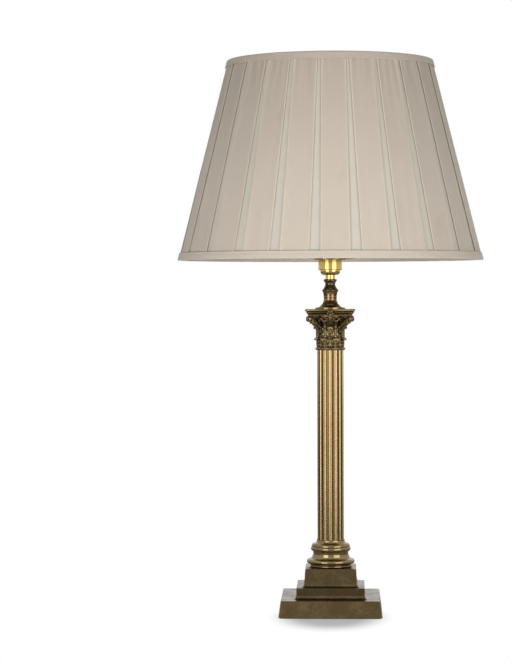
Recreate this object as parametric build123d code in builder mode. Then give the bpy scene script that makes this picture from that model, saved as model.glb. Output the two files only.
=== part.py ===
from build123d import *
from math import asin, cos, degrees, radians, sin, sqrt
import os

# Column table lamp: +Z is up, the origin is the centre of the underside, the front faces -Y.
# Sizes are in millimetres and degrees.

os.makedirs("parts", exist_ok=True)

# Clearances
seat_gap = 0.2            # between a wire's end and the wire it is welded to
cloth_gap = 0.3           # between cloth and what it hangs on
thread_gap = 0.05         # radial, between a thread and its mate
slip_gap = 0.3            # radial, where the rod passes a piece freely

# Plinth
pad_thickness = 1.2       # baize
pad_inset = 1.6
board_thickness = 1.5     # cover board
bottom_half = 66.7        # half widths of the square tiers
step_1_half = 63.8
step_2_half = 44.0
step_2_foot_half = 49.1
block_half = 32.8
block_low_half = 34.1
block_foot_half = 39.5
step_1_height = 21.2
step_2_height = 14.0
step_2_foot_height = 4.2
block_height = 23.5
block_foot_height = 3.8
plinth_edge_radius = 0.8
plinth_wall = 4.0
rim_width = 4.6           # rim left outside the cover board
ledge_width = 2.4         # ledge that the cover board is glued to
weight_half = 44.0
weight_thickness = 11.5
weight_recess_radius = 15.0
weight_recess_depth = 6.0

# Cord entry in the back of the plinth
cord_bore_radius = 3.7
bush_radius = 5.0
bush_flange_radius = 6.5
bush_flange_thickness = 1.5
bush_rim_radius = 0.5
bush_length = 9.0
bush_nut_flats = 11.5
bush_nut_thickness = 2.4
bush_height = 9.75        # above the underside
bush_seat_wall = 3.4      # wall left under the flange

# Rod through the column
rod_radius = 5.0
rod_bore_radius = 3.8
rod_below_nut = 0.6
rod_in_cap = 2.6
washer_radius = 11.0
washer_thickness = 1.5
tag_radius = 8.0
tag_thickness = 0.8
tag_reach = 13.5
nut_flats = 15.0
nut_thickness = 3.0

# Turned column foot
bead_radius = 27.4
bead_height = 3.1
groove_radius = 25.6
groove_height = 0.9
torus_radius = 31.2
torus_height = 6.2
torus_undercut = 2.4
fillet_step = 0.7
scotia_radius = 23.1
scotia_rise = 4.8
scotia_height = 6.0
lip_radius = 25.9
lip_height = 5.0
lip_undercut = 1.0
ogee_radius = 22.4
ogee_height = 4.6
bell_step = 1.2
bell_height = 5.0
foot_top_radius = 18.2
foot_core_radius = 15.0
foot_roof = 8.0
spigot_height = 8.0
spigot_gap = 0.05

# Fluted shaft
shaft_radius = 17.3
shaft_bore_radius = 14.4
shaft_length = 246.8
flute_count = 16
flute_width = 5.0
flute_depth = 1.2

# Capital
leaf_count = 8
leaf_lobes = 3
lobe_bulge = 0.25
lobe_rise = 1.15          # last lobe's top, as a share of the height to the curl
leaf_taper = 0.34
leaf_curl = 0.3           # share of a leaf's height that curls outwards
tip_droop = 2.24
tip_bulge = 0.35
astragal_radius = 19.7
astragal_height = 3.8
astragal_edge = 1.4
bell_radius = 16.6
bell_lip_radius = 23.5
bell_core_radius = 11.5
bell_rise = 45.0          # from the capital's foot to the abacus
lower_leaf_rise = 15.6    # tops of the leaves, above the capital's foot
lower_leaf_reach = 19.6
upper_leaf_rise = 31.6
upper_leaf_reach = 21.4
leaf_width = 13.6
leaf_thickness = 1.4
upper_leaf_thickness = 1.1
upper_leaf_foot = 7.0
vein_width = 0.8
vein_place = 0.2          # of the leaf's width, from its middle
vein_share = 0.75         # of the leaf's height
vein_splay = 8.0
stem_rise = 39.0
stem_width = 4.6
stem_stand = 1.25
stem_lip_bulge = 0.33
scroll_reach = 37.2       # scroll centre from the axis, along the diagonal
scroll_radius = 4.1
scroll_width = 5.6
scroll_relief = 0.6
scroll_pitch = 1.7
scroll_ribbon = 0.9
scroll_rise = 40.6        # scroll centre above the capital's foot
abacus_reach = 45.0       # horn tips from the axis
abacus_waist = 25.0       # middle of a side from the axis
abacus_cove_height = 4.2
abacus_cove_inset = 5.0
abacus_lip_height = 1.6
abacus_lip_inset = 1.5
abacus_slab_height = 2.6
horn_width = 2.6
fleuron_radius = 4.1
fleuron_petals = 5
boss_radius = 2.7
boss_reach = 21.6
fleuron_stand = 1.2

# Turned neck
neck_base_radius = 20.4
neck_base_height = 0.9
neck_step_radius = 19.3
neck_step_height = 1.2
neck_flare_radius = 17.4
neck_throat_radius = 8.7
neck_flare_height = 13.4
vase_radius = 9.9
vase_height = 7.6
ring_radius = 10.9
ring_height = 2.4
waist_radius = 6.4
waist_height = 6.6
collar_radius = 8.6
collar_flare_height = 4.7
collar_height = 2.2

# Lampholder
cap_neck_radius = 6.3
cap_neck_height = 5.4
cap_dome_radius = 12.9
cap_dome_height = 6.6
cap_wall = 1.3
cap_shoulder = 2.4
cap_bead = 0.9
cap_bead_height = 1.2
barrel_radius = 14.0
barrel_bore_radius = 12.6
barrel_mouth_radius = 11.4
barrel_length = 36.0
barrel_spigot_depth = 3.0
insulator_height = 16.0
insulator_lift = 3.4      # its underside above the cap's rim
plunger_spacing = 9.6
plunger_radius = 2.2
plunger_gap = 0.05
plunger_length = 8.0
plunger_proud = 3.4       # how far a plunger stands out of the insulator
push_travel = 2.5         # how far the bulb pushes in
spring_radius = 1.7
spring_wire_radius = 0.35
spring_turns = 4
spring_wire_sides = 6
post_size = 3.6
post_height = 5.0
terminal_screw_radius = 1.1
terminal_screw_head = 1.7
terminal_screw_length = 2.6
slot_width = 3.2
slot_play = 0.2
slot_shift = 5.2          # sideways step of the bayonet slot
ring_skirt_radius = 15.6
ring_flange_radius = 20.0
ring_flange_thickness = 1.6
ring_skirt_height = 12.8
ring_edge_radius = 0.8

# Bulb with a bayonet cap
bulb_radius = 30.0
bulb_cap_radius = 11.1
bulb_cap_length = 25.0
bulb_length = 105.0
bulb_neck_radius = 14.5
bulb_neck_rise = 4.0
shoulder_drop = 16.5      # below the round head's centre
bulb_cap_wall = 0.5
glass_wall = 0.9
pin_radius = 1.0
pin_height = 6.9          # above the cap's contact face
pin_reach = 13.4
contact_radius = 2.4
contact_height = 0.8
stem_radius = 4.0
stem_height = 34.0
filament_radius = 0.5
filament_span = 22.0
filament_lift = 22.0

# Shade carrier
carrier_plate_radius = 20.6
carrier_plate_thickness = 2.0
carrier_wire_radius = 1.7
carrier_arm_count = 3
carrier_knee_radius = 43.0
carrier_knee_rise = 20.0
carrier_bend_radius = 14.0
gallery_rise = 130.0      # ledge above the carrier's plate
gallery_inner_radius = 46.0
gallery_outer_radius = 54.0
gallery_thickness = 1.2
gallery_upstand = 6.0

# Shade
shade_height = 259.0
duplex_drop = 122.3       # duplex ring below the shade's top
shade_bottom_radius = 199.3
shade_top_radius = 134.2
pleat_count = 24
pleat_turn = 2.5          # degrees, from the front to the middle of a panel
strip_width_bottom = 14.4 # recessed strip between two panels
strip_width_top = 4.8
pleat_depth = 1.8
cover_thickness = 1.2
lining_thickness = 0.8
frame_wire_radius = 1.5
strut_radius = 1.2
strut_count = 12
duplex_wire_radius = 1.75
duplex_radius = 51.0
duplex_arm_count = 3
band_thickness = 1.0
bottom_band_height = 10.0
top_band_height = 9.0
band_inner_height = 6.0

# Levels up the column
plinth_base = pad_thickness
step_1_top = plinth_base + step_1_height
step_2_top = step_1_top + step_2_height
plinth_top = step_2_top + block_height
foot_height = (bead_height + groove_height + torus_height + scotia_rise + scotia_height + lip_height
               + ogee_height + bell_height)
foot_top = plinth_top + foot_height
shaft_top = foot_top + shaft_length
abacus_base = shaft_top + bell_rise
capital_top = abacus_base + abacus_cove_height + abacus_lip_height + abacus_slab_height
neck_height = (neck_base_height + neck_step_height + neck_flare_height + vase_height + ring_height
               + waist_height + collar_flare_height + collar_height)
neck_top = capital_top + neck_height
cap_neck_top = neck_top + cap_neck_height
cap_rim = cap_neck_top + cap_dome_height
barrel_top = cap_rim + barrel_length
flange_level = cap_rim + ring_skirt_height + ring_flange_thickness
carrier_top = flange_level + carrier_plate_thickness
gallery_level = carrier_top + gallery_rise
insulator_base = cap_rim + insulator_lift
insulator_top = insulator_base + insulator_height
bulb_base = insulator_top + plunger_proud
duplex_level = gallery_level + gallery_thickness + duplex_wire_radius
shade_top_level = duplex_level + duplex_drop
shade_base_level = shade_top_level - shade_height


def arc_between(start, end, bulge):
    # Arc whose rise is the bulge times its chord, to the right of the way from start to end.
    across = end[0] - start[0]
    along = end[1] - start[1]
    middle = ((start[0] + end[0]) / 2 + bulge * along, (start[1] + end[1]) / 2 - bulge * across)
    return ThreePointArc(start, middle, end)


cove = -0.2       # bulge of a hollow moulding
ovolo = 0.2       # and of a full one


# ---- Plinth, its weight, board and baize ----

rebate_half = bottom_half - rim_width
cavity_half = rebate_half - ledge_width
cavity_top = step_1_top - plinth_wall


with BuildSketch() as plinth_side:
    with BuildLine():
        Polyline(
            (0, plinth_base),
            (bottom_half, plinth_base),
            (step_1_half, step_1_top),
            (step_2_foot_half, step_1_top),
        )
        arc_between((step_2_foot_half, step_1_top), (step_2_half, step_1_top + step_2_foot_height), cove)
        Polyline(
            (step_2_half, step_1_top + step_2_foot_height),
            (step_2_half, step_2_top),
            (block_foot_half, step_2_top),
        )
        arc_between((block_foot_half, step_2_top), (block_low_half, step_2_top + block_foot_height), cove)
        Polyline(
            (block_low_half, step_2_top + block_foot_height),
            (block_half, plinth_top),
            (0, plinth_top),
        )
        mirror(about=Plane.YZ)
    make_face()

back_wall = Plane(origin=(0, cavity_half, bush_height), x_dir=(-1, 0, 0), z_dir=(0, 1, 0))

with BuildPart() as plinth:
    with BuildSketch(Plane.XZ):
        add(plinth_side.sketch)
    extrude(amount=bottom_half, both=True)
    with BuildSketch(Plane.YZ):
        add(plinth_side.sketch)
    extrude(amount=bottom_half, both=True, mode=Mode.INTERSECT)
    mitres = plinth.edges().filter_by(Plane.XY, reverse=True)
    straight_mitres = mitres.filter_by(GeomType.LINE)
    fillet(straight_mitres, plinth_edge_radius)
    tier_tops = plinth.faces().filter_by(Axis.Z).filter_by(lambda face: face.normal_at().Z > 0)
    fillet([edge for face in tier_tops for edge in face.outer_wire().edges()], plinth_edge_radius)
    with BuildSketch(Plane.XY.offset(plinth_base)):
        RectangleRounded(2 * rebate_half, 2 * rebate_half, plinth_wall)
    extrude(amount=board_thickness, mode=Mode.SUBTRACT)
    with BuildSketch(Plane.XY.offset(plinth_base)):
        RectangleRounded(2 * cavity_half, 2 * cavity_half, plinth_wall)
    extrude(amount=cavity_top - plinth_base, mode=Mode.SUBTRACT)
    for half, roof in ((step_2_half, step_2_top), (block_half, plinth_top)):
        with BuildSketch(Plane.XY.offset(plinth_base)):
            RectangleRounded(2 * (half - plinth_wall), 2 * (half - plinth_wall), plinth_wall)
        extrude(amount=roof - plinth_wall - plinth_base, mode=Mode.SUBTRACT)
    with BuildSketch():
        Circle(rod_radius + slip_gap)
    extrude(amount=plinth_top, mode=Mode.SUBTRACT)
    with BuildSketch(back_wall):
        Circle(bush_radius + thread_gap)
    extrude(amount=bush_seat_wall, mode=Mode.SUBTRACT)
    with BuildSketch(back_wall.offset(bush_seat_wall)):
        Circle(bush_flange_radius + slip_gap)
    extrude(amount=bottom_half - cavity_half, mode=Mode.SUBTRACT)
plinth.part.label = "plinth"
export_step(plinth.part, "parts/plinth.step")

weight_base = cavity_top - weight_thickness
recess_roof = weight_base + weight_recess_depth
with BuildPart() as ballast_weight:
    with BuildSketch(Plane.XY.offset(weight_base)):
        RectangleRounded(2 * weight_half, 2 * weight_half, plinth_wall)
    extrude(amount=weight_thickness)
    with BuildSketch(Plane.XY.offset(weight_base)):
        Circle(weight_recess_radius)
    extrude(amount=weight_recess_depth, mode=Mode.SUBTRACT)
    with BuildSketch(Plane.XY.offset(weight_base)):
        Circle(rod_radius + slip_gap)
    extrude(amount=weight_thickness, mode=Mode.SUBTRACT)
ballast_weight.part.label = "ballast_weight"
export_step(ballast_weight.part, "parts/ballast_weight.step")

with BuildPart() as cover_board:
    with BuildSketch(Plane.XY.offset(plinth_base)):
        RectangleRounded(2 * (rebate_half - slip_gap), 2 * (rebate_half - slip_gap), plinth_wall)
    extrude(amount=board_thickness)
cover_board.part.label = "cover_board"
export_step(cover_board.part, "parts/cover_board.step")

with BuildPart() as baize_pad:
    with BuildSketch():
        RectangleRounded(2 * (bottom_half - pad_inset), 2 * (bottom_half - pad_inset), plinth_edge_radius)
    extrude(amount=pad_thickness)
baize_pad.part.label = "baize_pad"
export_step(baize_pad.part, "parts/baize_pad.step")

# ---- Cord bush and its nut, in the back wall ----

with BuildPart() as cord_bush:
    with BuildSketch(back_wall.offset(bush_seat_wall)):
        Circle(bush_flange_radius)
        Circle(cord_bore_radius, mode=Mode.SUBTRACT)
    extrude(amount=bush_flange_thickness)
    with BuildSketch(back_wall.offset(bush_seat_wall)):
        Circle(bush_radius)
        Circle(cord_bore_radius, mode=Mode.SUBTRACT)
    extrude(amount=-bush_length)
    rims = cord_bush.edges().filter_by(GeomType.CIRCLE).group_by(Axis.Y)[-1]
    fillet(rims, bush_rim_radius)
cord_bush.part.label = "cord_bush"
export_step(cord_bush.part, "parts/cord_bush.step")

with BuildPart() as bush_nut:
    with BuildSketch(back_wall):
        RegularPolygon(bush_nut_flats / 2, 6, major_radius=False)
        Circle(bush_radius + thread_gap, mode=Mode.SUBTRACT)
    extrude(amount=-bush_nut_thickness)
bush_nut.part.label = "bush_nut"
export_step(bush_nut.part, "parts/bush_nut.step")

# ---- Rod that clamps the column, with its washer, earth tag and nut ----

washer_base = recess_roof - washer_thickness
tag_base = washer_base - tag_thickness
nut_base = tag_base - nut_thickness
rod_base = nut_base - rod_below_nut
rod_top = cap_neck_top + rod_in_cap

with BuildPart() as clamp_rod:
    with BuildSketch(Plane.XY.offset(rod_base)):
        Circle(rod_radius)
        Circle(rod_bore_radius, mode=Mode.SUBTRACT)
    extrude(amount=rod_top - rod_base)
clamp_rod.part.label = "clamp_rod"
export_step(clamp_rod.part, "parts/clamp_rod.step")

with BuildPart() as rod_washer:
    with BuildSketch(Plane.XY.offset(washer_base)):
        Circle(washer_radius)
        Circle(rod_radius + slip_gap, mode=Mode.SUBTRACT)
    extrude(amount=washer_thickness)
rod_washer.part.label = "rod_washer"
export_step(rod_washer.part, "parts/rod_washer.step")

with BuildPart() as earth_tag:
    with BuildSketch(Plane.XY.offset(tag_base)):
        Circle(tag_radius)
        with Locations((tag_reach / 2, 0)):
            Rectangle(tag_reach, tag_radius / 2)
        Circle(rod_radius + slip_gap, mode=Mode.SUBTRACT)
    extrude(amount=tag_thickness)
earth_tag.part.label = "earth_tag"
export_step(earth_tag.part, "parts/earth_tag.step")

with BuildPart() as rod_nut:
    with BuildSketch(Plane.XY.offset(nut_base)):
        RegularPolygon(nut_flats / 2, 6, major_radius=False)
        Circle(rod_radius + thread_gap, mode=Mode.SUBTRACT)
    extrude(amount=nut_thickness)
rod_nut.part.label = "rod_nut"
export_step(rod_nut.part, "parts/rod_nut.step")

# ---- Turned column foot ----

groove_level = plinth_top + bead_height
torus_level = groove_level + groove_height
slope_level = torus_level + torus_height
scotia_level = slope_level + scotia_rise
lip_level = scotia_level + scotia_height
ogee_level = lip_level + lip_height
bell_level = ogee_level + ogee_height
spigot_radius = shaft_bore_radius - spigot_gap

with BuildPart() as column_foot:
    with BuildSketch(Plane.XZ):
        with BuildLine():
            Line((foot_core_radius, plinth_top), (groove_radius, plinth_top))
            ThreePointArc(
                (groove_radius, plinth_top),
                (bead_radius, plinth_top + bead_height / 2),
                (groove_radius, groove_level),
            )
            Polyline((groove_radius, groove_level), (groove_radius, torus_level))
            Line((groove_radius, torus_level), (torus_radius - torus_undercut, torus_level))
            ThreePointArc(
                (torus_radius - torus_undercut, torus_level),
                (torus_radius, (torus_level + slope_level) / 2),
                (torus_radius - torus_undercut, slope_level),
            )
            arc_between(
                (torus_radius - torus_undercut, slope_level),
                (scotia_radius + fillet_step, scotia_level),
                cove,
            )
            Line((scotia_radius + fillet_step, scotia_level), (scotia_radius, scotia_level))
            arc_between((scotia_radius, scotia_level), (scotia_radius + fillet_step, lip_level), cove / 2)
            Line((scotia_radius + fillet_step, lip_level), (lip_radius - lip_undercut, lip_level))
            ThreePointArc(
                (lip_radius - lip_undercut, lip_level),
                (lip_radius, lip_level + 0.6 * lip_height),
                (lip_radius - lip_undercut, ogee_level),
            )
            arc_between((lip_radius - lip_undercut, ogee_level), (ogee_radius, bell_level), ovolo)
            Line((ogee_radius, bell_level), (ogee_radius - bell_step, bell_level))
            arc_between((ogee_radius - bell_step, bell_level), (foot_top_radius, foot_top), cove)
            Polyline(
                (foot_top_radius, foot_top),
                (spigot_radius, foot_top),
                (spigot_radius, foot_top + spigot_height),
                (rod_radius + slip_gap, foot_top + spigot_height),
                (rod_radius + slip_gap, foot_top - foot_roof),
                (foot_core_radius, foot_top - foot_roof),
                (foot_core_radius, plinth_top),
            )
        make_face()
    revolve(axis=Axis.Z)
column_foot.part.label = "column_foot"
export_step(column_foot.part, "parts/column_foot.step")

# ---- Fluted shaft ----

flute_radius = (flute_width**2 / 4 + flute_depth**2) / (2 * flute_depth)
flute_place = sqrt(shaft_radius**2 - flute_width**2 / 4) - flute_depth + flute_radius

with BuildPart() as fluted_shaft:
    with BuildSketch(Plane.XY.offset(foot_top)):
        Circle(shaft_radius)
        with PolarLocations(flute_place, flute_count):
            Circle(flute_radius, mode=Mode.SUBTRACT)
        Circle(shaft_bore_radius, mode=Mode.SUBTRACT)
    extrude(amount=shaft_length)
fluted_shaft.part.label = "fluted_shaft"
export_step(fluted_shaft.part, "parts/fluted_shaft.step")

# ---- Corinthian capital: bell, two rings of acanthus leaves, stems, corner scrolls and abacus ----


def acanthus_leaf(foot, rise, reach, stand):
    # One leaf on the +X side: a lobed outline cut from a shell that hugs the bell and curls out at its tip.
    base = shaft_top + foot
    top = shaft_top + rise
    back = bell_radius - stand
    face = bell_radius + stand
    curl_level = top - (top - base) * leaf_curl
    tip_level = top - tip_droop
    with BuildPart() as leaf:
        with BuildSketch(Plane.XZ):
            with BuildLine():
                Line((back, base), (face, base))
                arc_between((face, base), (face, curl_level), ovolo / 5)
                arc_between((face, curl_level), (reach, tip_level), cove)
                arc_between((reach, tip_level), (reach - 2 * leaf_thickness, top), tip_bulge)
                Polyline((reach - 2 * leaf_thickness, top), (back, top), (back, base))
            make_face()
        revolve(axis=Axis.Z)
        notches = []
        for lobe in range(leaf_lobes + 1):
            share = lobe / leaf_lobes
            half = leaf_width / 2 * (1 - leaf_taper * share**2)
            notches.append((half, base + (curl_level - base) * lobe_rise * share))
        with BuildSketch(Plane.YZ):
            with BuildLine():
                Line((-notches[0][0], base), (notches[0][0], base))
                for start, end in zip(notches, notches[1:]):
                    arc_between(start, end, lobe_bulge)
                    arc_between((-end[0], end[1]), (-start[0], start[1]), lobe_bulge)
                half, level = notches[-1]
                ThreePointArc((half, level), (0, top + leaf_thickness / 2), (-half, level))
            make_face()
        extrude(amount=reach + leaf_thickness, mode=Mode.INTERSECT)
        with BuildSketch(Plane.YZ.offset(bell_radius + stand / 3)):
            for side in (-1, 1):
                with Locations((side * leaf_width * vein_place, (base + curl_level) / 2)):
                    SlotOverall((curl_level - base) * vein_share, vein_width, rotation=90 - side * vein_splay)
        extrude(amount=reach, mode=Mode.SUBTRACT)
    return leaf.part


lower_leaf = acanthus_leaf(astragal_height, lower_leaf_rise, lower_leaf_reach, leaf_thickness)
upper_leaf = acanthus_leaf(upper_leaf_foot, upper_leaf_rise, upper_leaf_reach, upper_leaf_thickness)

scroll_level = shaft_top + scroll_rise
diagonal = Plane(origin=(0, 0, 0), x_dir=(1, 0, 0), z_dir=(0, -1, 0))

with BuildPart() as corner_scroll:
    # The scroll's web and stalk, then the spiral ribbon that stands proud of both sides.
    with BuildSketch(diagonal):
        with BuildLine():
            root_low = (bell_radius - 1, shaft_top + upper_leaf_rise - 2)
            root_high = (bell_radius - 1, shaft_top + stem_rise)
            under = (scroll_reach, scroll_level - scroll_radius)
            over = (scroll_reach, scroll_level + scroll_radius)
            arc_between(root_low, under, 0.12)
            Line(under, over)
            arc_between(over, root_high, -0.06)
            Line(root_high, root_low)
        make_face()
        with Locations((scroll_reach, scroll_level)):
            Circle(scroll_radius - scroll_ribbon / 2)
    extrude(amount=scroll_width / 2, both=True)
    with BuildSketch(diagonal):
        with BuildLine():
            turn_points = []
            for quarter in range(9):
                reach = scroll_radius - scroll_ribbon / 2 - scroll_pitch * quarter / 4
                angle = radians(90 - 90 * quarter)
                turn_points.append((scroll_reach + reach * cos(angle), scroll_level + reach * sin(angle)))
            for quarter in range(0, 7, 2):
                ThreePointArc(*turn_points[quarter:quarter + 3])
        trace(line_width=scroll_ribbon)
        with Locations((scroll_reach, scroll_level)):
            Circle(scroll_ribbon)
    extrude(amount=scroll_width / 2 + scroll_relief, both=True)


def concave_square(inset):
    # The abacus's outline: four hollow sides between cut-off horns.
    reach = abacus_reach - inset
    waist = abacus_waist - inset / 2
    with BuildSketch() as outline:
        with BuildLine():
            for side in range(4):
                horn = Vector(reach, 0).rotate(Axis.Z, 45 + 90 * side)
                across = Vector(0, horn_width / 2).rotate(Axis.Z, 45 + 90 * side)
                next_horn = horn.rotate(Axis.Z, 90) - across.rotate(Axis.Z, 90)
                middle = Vector(waist, 0).rotate(Axis.Z, 90 + 90 * side)
                Line(horn - across, horn + across)
                ThreePointArc(horn + across, middle, next_horn)
        make_face()
    return outline.sketch


abacus_lip_base = abacus_base + abacus_cove_height
abacus_slab_base = abacus_lip_base + abacus_lip_height
stem_top = shaft_top + stem_rise
boss_level = (shaft_top + upper_leaf_rise + stem_top) / 2
fleuron_level = (abacus_base + abacus_slab_base + abacus_slab_height) / 2

stem_foot = shaft_top + lower_leaf_rise
stem_reach = bell_radius + 3 * stem_stand

with BuildPart() as sheath_stem:
    # A stem between two upper leaves: it widens upwards and follows the bell's flare.
    with BuildSketch(Plane.XZ):
        with BuildLine():
            Line((bell_radius - 1, stem_foot), (bell_radius + stem_stand, stem_foot))
            arc_between((bell_radius + stem_stand, stem_foot), (stem_reach, stem_top), cove / 2)
            Polyline((stem_reach, stem_top), (bell_radius - 1, stem_top), (bell_radius - 1, stem_foot))
        make_face()
    revolve(axis=Axis.Z)
    with BuildSketch(Plane.YZ):
        with BuildLine():
            Line((-stem_width / 4, stem_foot), (stem_width / 4, stem_foot))
            arc_between((stem_width / 4, stem_foot), (stem_width / 2, stem_top), 0.05)
            arc_between((stem_width / 2, stem_top), (-stem_width / 2, stem_top), -stem_lip_bulge)
            arc_between((-stem_width / 2, stem_top), (-stem_width / 4, stem_foot), 0.05)
        make_face()
    extrude(amount=2 * bell_radius, mode=Mode.INTERSECT)

with BuildPart() as side_flower:
    # The fleuron in the middle of the abacus's side, and the boss on its stalk below.
    with BuildSketch(Plane.YZ.offset(bell_radius)):
        with Locations((0, fleuron_level)):
            Circle(fleuron_radius / 2)
            with PolarLocations(fleuron_radius * 0.6, fleuron_petals, start_angle=90):
                Circle(fleuron_radius * 0.42)
    extrude(amount=abacus_waist + fleuron_stand - bell_radius)
    with BuildSketch(Plane.YZ.offset(bell_radius)):
        with Locations((0, fleuron_level)):
            Circle(fleuron_radius * 0.3)
    extrude(amount=abacus_waist + 2 * fleuron_stand - bell_radius)
    with BuildSketch(Plane.YZ.offset(bell_radius - 1)):
        with Locations((0, boss_level)):
            Circle(boss_radius)
    extrude(amount=boss_reach - bell_radius + 1)
    with BuildSketch(Plane.YZ.offset(bell_radius - 1)):
        with Locations((0, (boss_level + shaft_top + lower_leaf_rise) / 2)):
            Rectangle(boss_radius, boss_level - shaft_top - lower_leaf_rise)
    extrude(amount=(boss_reach - bell_radius) / 2)


with BuildPart() as capital:
    with BuildSketch(Plane.XZ):
        with BuildLine():
            neck_line = shaft_top + astragal_height
            flare_level = shaft_top + 0.6 * bell_rise
            Polyline(
                (astragal_radius - astragal_edge, shaft_top),
                (spigot_radius, shaft_top),
                (spigot_radius, shaft_top - spigot_height),
                (bell_core_radius, shaft_top - spigot_height),
                (bell_core_radius, abacus_base - foot_roof),
                (rod_radius + slip_gap, abacus_base - foot_roof),
                (rod_radius + slip_gap, abacus_base),
                (bell_lip_radius, abacus_base),
            )
            arc_between((bell_lip_radius, abacus_base), (bell_radius, flare_level), cove / 2)
            Polyline((bell_radius, flare_level), (bell_radius, neck_line))
            Line((bell_radius, neck_line), (astragal_radius - astragal_edge, neck_line))
            ThreePointArc(
                (astragal_radius - astragal_edge, neck_line),
                (astragal_radius, shaft_top + astragal_height / 2),
                (astragal_radius - astragal_edge, shaft_top),
            )
        make_face()
    revolve(axis=Axis.Z)
    with PolarLocations(0, leaf_count, start_angle=180 / leaf_count):
        add(lower_leaf)
    with PolarLocations(0, leaf_count):
        add(upper_leaf)
    with PolarLocations(0, leaf_count, start_angle=180 / leaf_count):
        add(sheath_stem.part)
    with PolarLocations(0, 4, start_angle=45):
        add(corner_scroll.part)
    with PolarLocations(0, 4):
        add(side_flower.part)
    with BuildSketch(Plane.XY.offset(abacus_base)):
        add(concave_square(abacus_cove_inset))
    with BuildSketch(Plane.XY.offset(abacus_lip_base)):
        add(concave_square(abacus_lip_inset))
    loft(ruled=True)
    with BuildSketch(Plane.XY.offset(abacus_lip_base)):
        add(concave_square(abacus_cove_inset / 2))
    extrude(amount=abacus_lip_height)
    with BuildSketch(Plane.XY.offset(abacus_slab_base)):
        add(concave_square(0))
    extrude(amount=abacus_slab_height)
    with BuildSketch(Plane.XY.offset(abacus_base - foot_roof)):
        Circle(rod_radius + slip_gap)
    extrude(amount=capital_top - abacus_base + foot_roof, mode=Mode.SUBTRACT)
capital.part.label = "capital"
export_step(capital.part, "parts/capital.step")

# ---- Turned neck between the capital and the lampholder ----

step_level = capital_top + neck_base_height
flare_base = step_level + neck_step_height
vase_level = flare_base + neck_flare_height
ring_level = vase_level + vase_height
waist_level = ring_level + ring_height
collar_flare_level = waist_level + waist_height
collar_level = collar_flare_level + collar_flare_height

with BuildPart() as lamp_neck:
    with BuildSketch(Plane.XZ):
        with BuildLine():
            Polyline(
                (rod_radius + slip_gap, capital_top),
                (neck_base_radius, capital_top),
                (neck_base_radius, step_level),
                (neck_step_radius, step_level),
                (neck_step_radius, flare_base),
                (neck_flare_radius, flare_base),
            )
            arc_between((neck_flare_radius, flare_base), (neck_throat_radius, vase_level), cove)
            arc_between((neck_throat_radius, vase_level), (vase_radius, ring_level), cove / 4)
            ThreePointArc(
                (vase_radius, ring_level),
                (ring_radius, (ring_level + waist_level) / 2),
                (vase_radius, waist_level),
            )
            arc_between((vase_radius, waist_level), (waist_radius, collar_flare_level), cove / 4)
            arc_between((waist_radius, collar_flare_level), (collar_radius, collar_level), cove / 2)
            arc_between((collar_radius, collar_level), (collar_radius - neck_base_height, neck_top), ovolo)
            Line((collar_radius - neck_base_height, neck_top), (rod_radius + slip_gap, neck_top))
            Line((rod_radius + slip_gap, neck_top), (rod_radius + slip_gap, capital_top))
        make_face()
    revolve(axis=Axis.Z)
lamp_neck.part.label = "lamp_neck"
export_step(lamp_neck.part, "parts/lamp_neck.step")

# ---- Lampholder: cap, barrel with bayonet slots, shade rings, insulator, terminals and contacts ----

cap_inner_radius = cap_dome_radius - cap_wall
cap_shoulder_radius = cap_neck_radius + cap_shoulder
cap_bead_level = cap_rim - cap_bead_height
bore_step_level = insulator_top - 2 * cap_wall

with BuildPart() as holder_cap:
    with BuildSketch(Plane.XZ):
        with BuildLine():
            Polyline(
                (rod_radius + thread_gap, neck_top),
                (cap_neck_radius, neck_top),
                (cap_neck_radius, cap_neck_top),
                (cap_shoulder_radius, cap_neck_top),
            )
            arc_between((cap_shoulder_radius, cap_neck_top), (cap_dome_radius, cap_bead_level), ovolo)
            Polyline(
                (cap_dome_radius, cap_bead_level),
                (cap_dome_radius + cap_bead, cap_bead_level),
                (cap_dome_radius + cap_bead, cap_rim),
                (barrel_bore_radius - thread_gap, cap_rim),
                (barrel_bore_radius - thread_gap, cap_rim + barrel_spigot_depth),
                (cap_inner_radius, cap_rim + barrel_spigot_depth),
                (cap_inner_radius, cap_bead_level),
            )
            arc_between(
                (cap_inner_radius, cap_bead_level),
                (cap_shoulder_radius, cap_neck_top + cap_wall),
                -ovolo,
            )
            Polyline(
                (cap_shoulder_radius, cap_neck_top + cap_wall),
                (rod_radius + thread_gap, cap_neck_top + cap_wall),
                (rod_radius + thread_gap, neck_top),
            )
        make_face()
    revolve(axis=Axis.Z)
holder_cap.part.label = "holder_cap"
export_step(holder_cap.part, "parts/holder_cap.step")

pin_level = bulb_base + pin_height
slot_floor = pin_level - push_travel - pin_radius - slot_play
slot_roof = pin_level + pin_radius + slot_play

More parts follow.
